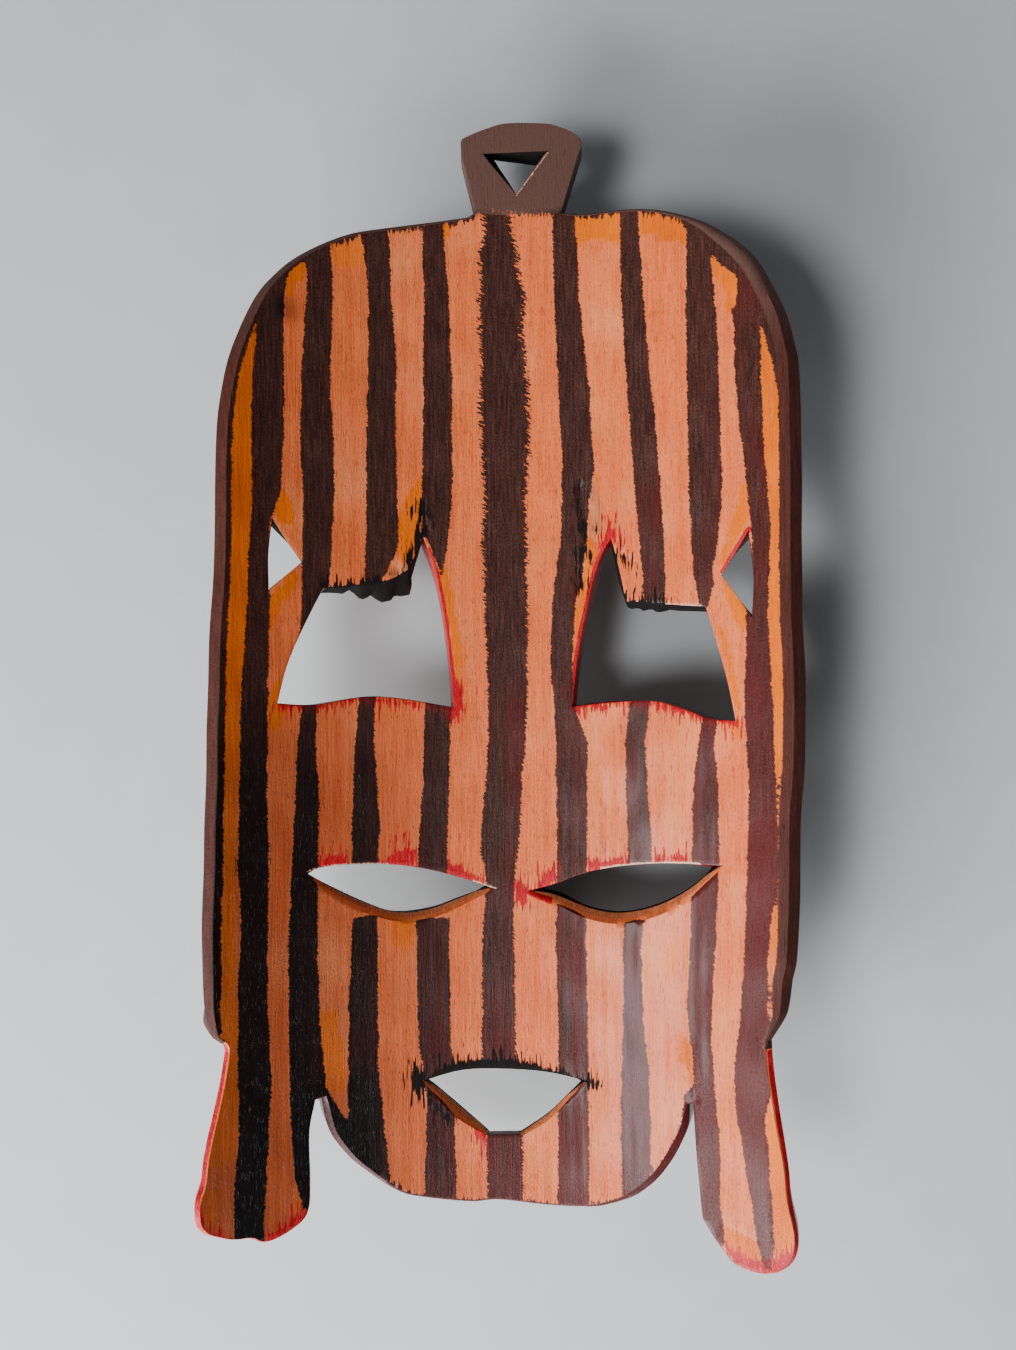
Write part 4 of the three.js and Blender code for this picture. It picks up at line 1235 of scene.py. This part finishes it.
def noises(nodes, place):
    """Noises of the brush, the grain and the worn paint, each about 0; pores are 0 or 1."""
    slanted = nodes.add("ShaderNodeMapping", {"vector_type": "POINT"},
                        {"Vector": place, "Rotation": (0.0, 0.0, BRUSH_SLANT)})
    return SimpleNamespace(
        bristle=nodes.noise(slanted, 0.45, 1.5, 0.5, detail=3.0, roughness=0.65),
        wobble=nodes.noise(place, 0.22, 0.22, 0.2),
        spike=nodes.noise(place, 1.25, 0.13, 0.3, detail=2.0, roughness=0.6),
        fine=nodes.noise(place, 1.6, 1.6, 1.0),
        brushed=nodes.noise(slanted, 0.8, 0.3, 0.3, detail=3.0, roughness=0.7),
        lines=nodes.noise(place, 2.3, 0.07, 0.8, detail=4.0, roughness=0.62),
        broad=nodes.noise(place, 0.42, 0.012, 0.3, detail=2.0),
        fibre=nodes.noise(slanted, 3.2, 1.1, 2.0, detail=3.0, roughness=0.6),
        cloud=nodes.noise(place, 0.05, 0.03, 0.05, detail=2.0),
        pores=nodes.noise(place, 3.4, 0.28, 1.5, detail=1.0).step(0.13, 0.24),
        streak=nodes.noise(place, 1.5, 0.1, 0.6, detail=4.0, roughness=0.7),
        speck=nodes.noise(slanted, 5.0, 1.7, 2.0, detail=2.0))


def paint_shares(field, noise):
    """Share of each paint, 0 off it and 1 on it: a step, at about 0, of its field plus noises.

    Bristle marks push the edges of the stripes about, and spikes run out along the grain.
    """
    tips = (noise.spike * 2.2 + 0.5).math("MAXIMUM", 0.0).math("POWER", 3.0)
    fine, wobble = noise.fine, noise.wobble
    return SimpleNamespace(
        dark=(field["dark"] + noise.bristle * field["ragged"] * 5.0 + wobble * 1.4 + fine * 0.7
              + noise.spike * field["fringe"] * 7.0).step(-0.14, 0.14),
        orange=(field["orange"] + noise.brushed * 4.2 + wobble * 2.0
                + noise.spike * 2.5).step(-0.5, 0.6),
        red=(field["red"] + tips * 7.0 - 1.2 + fine * 1.2 + wobble).step(-0.3, 0.4),
        black=(field["black"] + tips * 8.0 - 1.1 + fine * 1.0 + wobble).step(-0.25, 0.2),
        line=(field["line"] + fine * 0.6 + wobble * 0.5).step(-0.15, 0.15),
        bare=(field["bare"] + noise.bristle * 2.0 + noise.spike * 2.0).step(-0.2, 0.3),
        rim=(field["rim"] + fine * 0.3).step(-0.12, 0.12))


def ground_colour(nodes, colours, noise, wash, smudge_and_shade_share, bare):
    """Peach ground with grain, clouds, pores, orange washes, darkening at the lower left by the
    smudge and by painted shade, and the bare wood.
    """
    ground = nodes.mix((noise.lines * 1.8 + noise.broad * 0.9 + noise.fibre * 1.5 + 0.5)
                       .step(0.0, 1.0), colours.ground_shade, colours.ground)
    ground = nodes.mix((noise.cloud * 2.4 + 0.1).step(0.0, 1.0), ground, colours.ground_light)
    ground = nodes.mix(noise.pores * 0.55, ground, colours.pore)
    ground = nodes.mix(wash.step(0.0, 1.0) * 0.65, ground, colours.orange)
    # painted shade at the lower left, with the smudge: the ground darkened
    ground = nodes.mix(smudge_and_shade_share * (0.45 + noise.fibre), ground, colours.dark)
    timber = nodes.mix((noise.lines * 2.0 + 0.5).step(0.1, 0.9), colours.bare_shade, colours.bare)
    return nodes.mix(bare, ground, timber)


def stripe_colour(nodes, colours, noise, place, share, smudge_and_shade_share):
    """Dark stripes with worn streaks, redder in places and towards the lower right, partly as
    painted sheen; black at the lower left as painted shade; and the brown stain of rim and loop,
    paler at the top with painted sheen.
    """
    across = nodes.add("ShaderNodeSeparateXYZ", {}, {"Vector": place}, "X")
    along = nodes.add("ShaderNodeSeparateXYZ", {}, {"Vector": place}, "Y")
    streak, speck = noise.streak, noise.speck
    stripe = nodes.mix((streak * 1.5 + speck * 1.4 + 0.4).step(0.1, 1.0), colours.dark,
                       colours.dark_light)
    # redder and lighter towards the right and the lower end: partly the paint's own tint, partly
    # painted light where the light and sheen fall
    redder = noise.cloud * 1.4 + noise.broad * 1.2 + across * 0.004 - along * 0.003
    stripe = nodes.mix(redder.step(-0.15, 0.75) * 0.8, stripe, colours.dark_red)
    brown = nodes.mix((streak * 1.8 + speck * 0.7 + 0.5).step(0.1, 0.95), colours.rim_shade,
                      colours.rim)
    # paler, greyer rim towards the top and on the loop: a greyer stain, with painted sheen
    brown = nodes.mix(along.step(80.0, 122.0) * 0.75, brown, colours.rim_sheen_and_stain)
    stripe = nodes.mix(share.rim, stripe, brown)
    stripe = nodes.mix(share.red * 0.35, stripe, colours.red_shade)
    # painted shade: the stripes go black at the lower left
    stripe = nodes.mix(smudge_and_shade_share, stripe, colours.black)
    return nodes.mix((speck + noise.fibre * 0.6).step(0.16, 0.4) * 0.35, stripe, colours.rim)


def painted_wood(colours):
    """Painted, lightly varnished wood whose grain runs along the mask."""
    material = bpy.data.materials.new("painted wood")
    nodes = Nodes(material)
    place = nodes.add("ShaderNodeAttribute", {"attribute_name": "board"}, {}, "Vector")
    field = {name: nodes.field(name) for name in Wood.FIELDS}
    noise = noises(nodes, place)
    share = paint_shares(field, noise)
    streak, fine, cloud = noise.streak, noise.fine, noise.cloud

    # the paints, one over the other
    # share of darkening at the lower left: painted shade, and the smudge on the wood
    smudge_and_shade_share = (0.0 - field["wash"]).step(0.1, 1.0)
    paint = ground_colour(nodes, colours, noise, field["wash"], smudge_and_shade_share, share.bare)
    amber = nodes.mix((streak * 1.4 + cloud + 0.5).step(0.1, 0.9), colours.orange_shade,
                      colours.orange)
    # painted shade: the orange darkened at the lower left
    amber = nodes.mix(smudge_and_shade_share * 0.45, amber, colours.dark_light)
    paint = nodes.mix(share.orange, paint, amber)
    scarlet = nodes.mix((streak * 1.6 + fine + 0.5).step(0.1, 0.9), colours.red_shade, colours.red)
    paint = nodes.mix(share.red.math("MAXIMUM", share.line), paint, scarlet)
    paint = nodes.mix(share.dark, paint, stripe_colour(nodes, colours, noise, place, share, smudge_and_shade_share))
    soot = nodes.mix((streak * 1.5 + noise.speck * 0.8 + 0.3).step(0.2, 1.2), colours.black,
                     colours.dark)
    paint = nodes.mix(share.black, paint, soot)
    # pale line along some edges: chipped paint and a painted highlight of the edge
    paint = nodes.mix((field["chip"] + fine * 0.7).step(0.6, 0.8), paint, colours.chip)

    # how rough it is, the varnish over the ground and the stripes, and the fine relief
    roughness = (0.35 - share.dark * 0.02 + share.rim * 0.25 + share.bare * 0.2
                 + share.black * 0.5 + noise.lines * 0.25 + noise.fibre * 0.15 + cloud * 0.2)
    varnish = (1.0 - share.rim) * (1.0 - share.black)
    varnish = varnish * (1.0 - (share.red + share.line + share.orange).step(0.0, 1.0) * 0.8)
    height = (noise.lines * 0.9 + noise.fibre * 0.5 + fine * 0.25 - noise.pores * 0.5
              + streak * 0.5 + share.dark * 0.25 + share.orange * 0.1 + noise.speck * 0.25)
    normal = nodes.add("ShaderNodeBump", {}, {"Strength": 0.7, "Distance": 0.0003,
                                              "Height": height})
    surface = nodes.add("ShaderNodeBsdfPrincipled", {}, {
        "Base Color": paint, "Roughness": roughness, "Normal": normal, "IOR": 1.48,
        "Specular IOR Level": 0.2, "Coat Weight": varnish * 0.23,
        "Coat Roughness": 0.24})
    nodes.add("ShaderNodeOutputMaterial", {}, {"Surface": surface})
    return material


def floor_finish(colour):
    """Plain matt floor, very slightly mottled."""
    material = bpy.data.materials.new("pale floor")
    nodes = Nodes(material)
    place = nodes.add("ShaderNodeTexCoord", {}, {}, "Object")
    mottle = nodes.noise(place, 40.0, 40.0, detail=3.0)
    shade = tuple(0.96 * c for c in colour[:3]) + (1.0,)
    tone = nodes.mix((mottle + 0.5).step(0.2, 0.8), shade, colour)
    surface = nodes.add("ShaderNodeBsdfPrincipled", {}, {"Base Color": tone, "Roughness": 0.9})
    nodes.add("ShaderNodeOutputMaterial", {}, {"Surface": surface})
    return material


def colour_property(name, description, red, green, blue):
    """A colour that the user may change, from its screen values 0 to 255 made linear."""
    values = [((c / 255 + 0.055) / 1.055) ** 2.4 if c > 10 else c / 3294.6
              for c in (red, green, blue)]
    return bpy.props.FloatVectorProperty(name=name, description=description, size=4, min=0, max=1,
                                         subtype="COLOR", default=(*values, 1))


class MaskColours(bpy.types.PropertyGroup):
    """Colours of the paint and the wood."""

    ground: colour_property("Ground", "Peach ground of the back", 238, 122, 68)
    ground_shade: colour_property("Ground, shade", "Peach ground in the grain", 212, 94, 46)
    ground_light: colour_property("Ground, pale", "Palest places of the ground", 246, 142, 90)
    pore: colour_property("Pores", "Short dark pores of the ground", 150, 58, 30)
    dark: colour_property("Stripe", "Dark stripes", 44, 22, 19)
    dark_light: colour_property("Stripe, worn", "Worn streaks in the stripes", 92, 58, 50)
    dark_red: colour_property("Stripe, reddish", "Reddish places of the stripes", 88, 22, 22)
    rim: colour_property("Rim", "Stained and polished rim", 84, 41, 33)
    rim_shade: colour_property("Rim, shade", "Grain of the rim", 60, 28, 20)
    # paler, greyer rim at the top and on the loop: a greyer stain, with painted sheen
    rim_sheen_and_stain: colour_property("Rim, top", "Greyer stain at the top and on the loop", 100, 74, 66)
    orange: colour_property("Orange", "Orange paint", 236, 114, 0)
    orange_shade: colour_property("Orange, shade", "Orange paint in the grain", 210, 92, 0)
    red: colour_property("Red", "Red paint", 208, 22, 36)
    red_shade: colour_property("Red, shade", "Red paint in the grain", 146, 10, 20)
    # black, and dark and dark_light, also serve as the painted shade at the lower left
    black: colour_property("Black", "Black at the broken edges", 14, 10, 10)
    bare: colour_property("Bare wood", "Bare wood of the cut walls", 214, 128, 84)
    bare_shade: colour_property("Bare wood, shade", "Grain of the bare wood", 170, 90, 52)
    # pale line along some edges: chipped paint and a painted highlight of the edge
    chip: colour_property("Chipped edge", "Pale line where an edge is chipped", 226, 176, 150)


class MaskSizes(bpy.types.PropertyGroup):
    """Fineness of the mesh."""

    step: bpy.props.FloatProperty(name="Step", description="Spacing of the points of the mesh",
                                  default=1.15 * MM, min=0.8 * MM, max=4 * MM, unit="LENGTH",
                                  precision=5)


class StudioSettings(bpy.types.PropertyGroup):
    """Camera, floor and light."""

    camera_height: bpy.props.FloatProperty(
        name="Camera height", description="Height of the camera above the floor",
        default=0.337, unit="LENGTH")
    lens: bpy.props.FloatProperty(name="Lens", description="Focal length of the camera",
                                  default=27.07, subtype="DISTANCE_CAMERA")
    window_power: bpy.props.FloatProperty(
        name="Window light", description="Power of the large low light at the lower left",
        default=30, unit="POWER")
    box_power: bpy.props.FloatProperty(
        name="Soft box", description="Power of the smaller light higher up on the left",
        default=9, unit="POWER")
    fill: bpy.props.FloatProperty(name="Fill", description="Strength of the light all round",
                                  default=0.12, min=0)
    floor: colour_property("Floor", "Pale floor", 198, 203, 205)


class MASK_OT_carve(bpy.types.Operator):
    """Carves and paints the mask"""

    bl_idname = "mask.carve"
    bl_label = "Carve the mask"

    def execute(self, context):
        wood = carve(context.scene.mask_sizes.step / MM)
        mask = bpy.data.objects.new("carved_mask", wood.mesh("carved_mask"))
        context.scene.collection.objects.link(mask)
        mask.data.materials.append(painted_wood(context.scene.mask_colours))
        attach(mask, "root")
        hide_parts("mask")
        return {"FINISHED"}


class MASK_OT_stage(bpy.types.Operator):
    """Lays the floor, lights the mask and sets up the camera above it"""

    bl_idname = "mask.stage"
    bl_label = "Set the stage"

    def execute(self, context):
        studio = context.scene.mask_studio
        half = 2.5  # half the floor's width, in metres
        mesh = bpy.data.meshes.new("floor")
        mesh.from_pydata([(-half, -half, 0), (half, -half, 0), (half, half, 0), (-half, half, 0)],
                         [], [(0, 1, 2, 3)])
        floor = bpy.data.objects.new("floor", mesh)
        floor.data.materials.append(floor_finish(tuple(studio.floor)))
        context.scene.collection.objects.link(floor)

        # name, power, turn and rise in degrees, distance and size in metres
        lights = (("window", studio.window_power, 236, 25, 1.15, 0.8),
                  ("soft box", studio.box_power, 213, 57, 1.2, 0.42))
        for name, power, turn, rise, far, size in lights:
            lamp = bpy.data.lights.new(name, "AREA")
            lamp.shape, lamp.size, lamp.size_y = "RECTANGLE", size, 0.7 * size
            lamp.energy = power
            light = bpy.data.objects.new(name, lamp)
            turn, rise = math.radians(turn), math.radians(rise)
            direction = Vector((math.cos(turn) * math.cos(rise), math.sin(turn) * math.cos(rise),
                                math.sin(rise)))
            light.location = direction * far
            light.rotation_euler = direction.to_track_quat("Z", "Y").to_euler()
            context.scene.collection.objects.link(light)

        world = bpy.data.worlds.new("soft room")
        world.use_nodes = True
        background = world.node_tree.nodes["Background"]
        background.inputs["Color"].default_value = (0.93, 0.96, 1, 1)
        background.inputs["Strength"].default_value = studio.fill
        context.scene.world = world

        lens = bpy.data.cameras.new("camera")
        lens.lens, lens.sensor_width, lens.sensor_fit = studio.lens, 36, "AUTO"
        lens.clip_start = 0.01
        camera = bpy.data.objects.new("camera", lens)
        camera.location = (CENTRE[0] * MM, CENTRE[1] * MM, studio.camera_height)
        context.scene.collection.objects.link(camera)
        context.scene.camera = camera
        return {"FINISHED"}


class MASK_PT_panel(bpy.types.Panel):
    """Lists the steps and the settings of the mask"""

    bl_idname = "MASK_PT_panel"
    bl_label = "Wooden mask"
    bl_space_type = "VIEW_3D"
    bl_region_type = "UI"
    bl_category = "Mask"

    def draw(self, context):
        for operator in (MASK_OT_carve, MASK_OT_stage):
            self.layout.operator(operator.bl_idname)
        for group in (context.scene.mask_sizes, context.scene.mask_colours,
                      context.scene.mask_studio):
            box = self.layout.box()
            for name in group.__annotations__:
                box.prop(group, name)


CLASSES = (MaskColours, MaskSizes, StudioSettings, MASK_OT_carve, MASK_OT_stage, MASK_PT_panel)


def register():
    """Registers the classes and hangs the settings on the scene."""
    for cls in CLASSES:
        bpy.utils.register_class(cls)
    bpy.types.Scene.mask_colours = bpy.props.PointerProperty(type=MaskColours)
    bpy.types.Scene.mask_sizes = bpy.props.PointerProperty(type=MaskSizes)
    bpy.types.Scene.mask_studio = bpy.props.PointerProperty(type=StudioSettings)


def unregister():
    """Takes the settings off the scene and the classes out again."""
    for name in ("mask_colours", "mask_sizes", "mask_studio"):
        delattr(bpy.types.Scene, name)
    for cls in reversed(CLASSES):
        bpy.utils.unregister_class(cls)


def main():
    register()
    bpy.ops.mask.carve()
    bpy.ops.mask.stage()


if __name__ == "__main__":
    main()
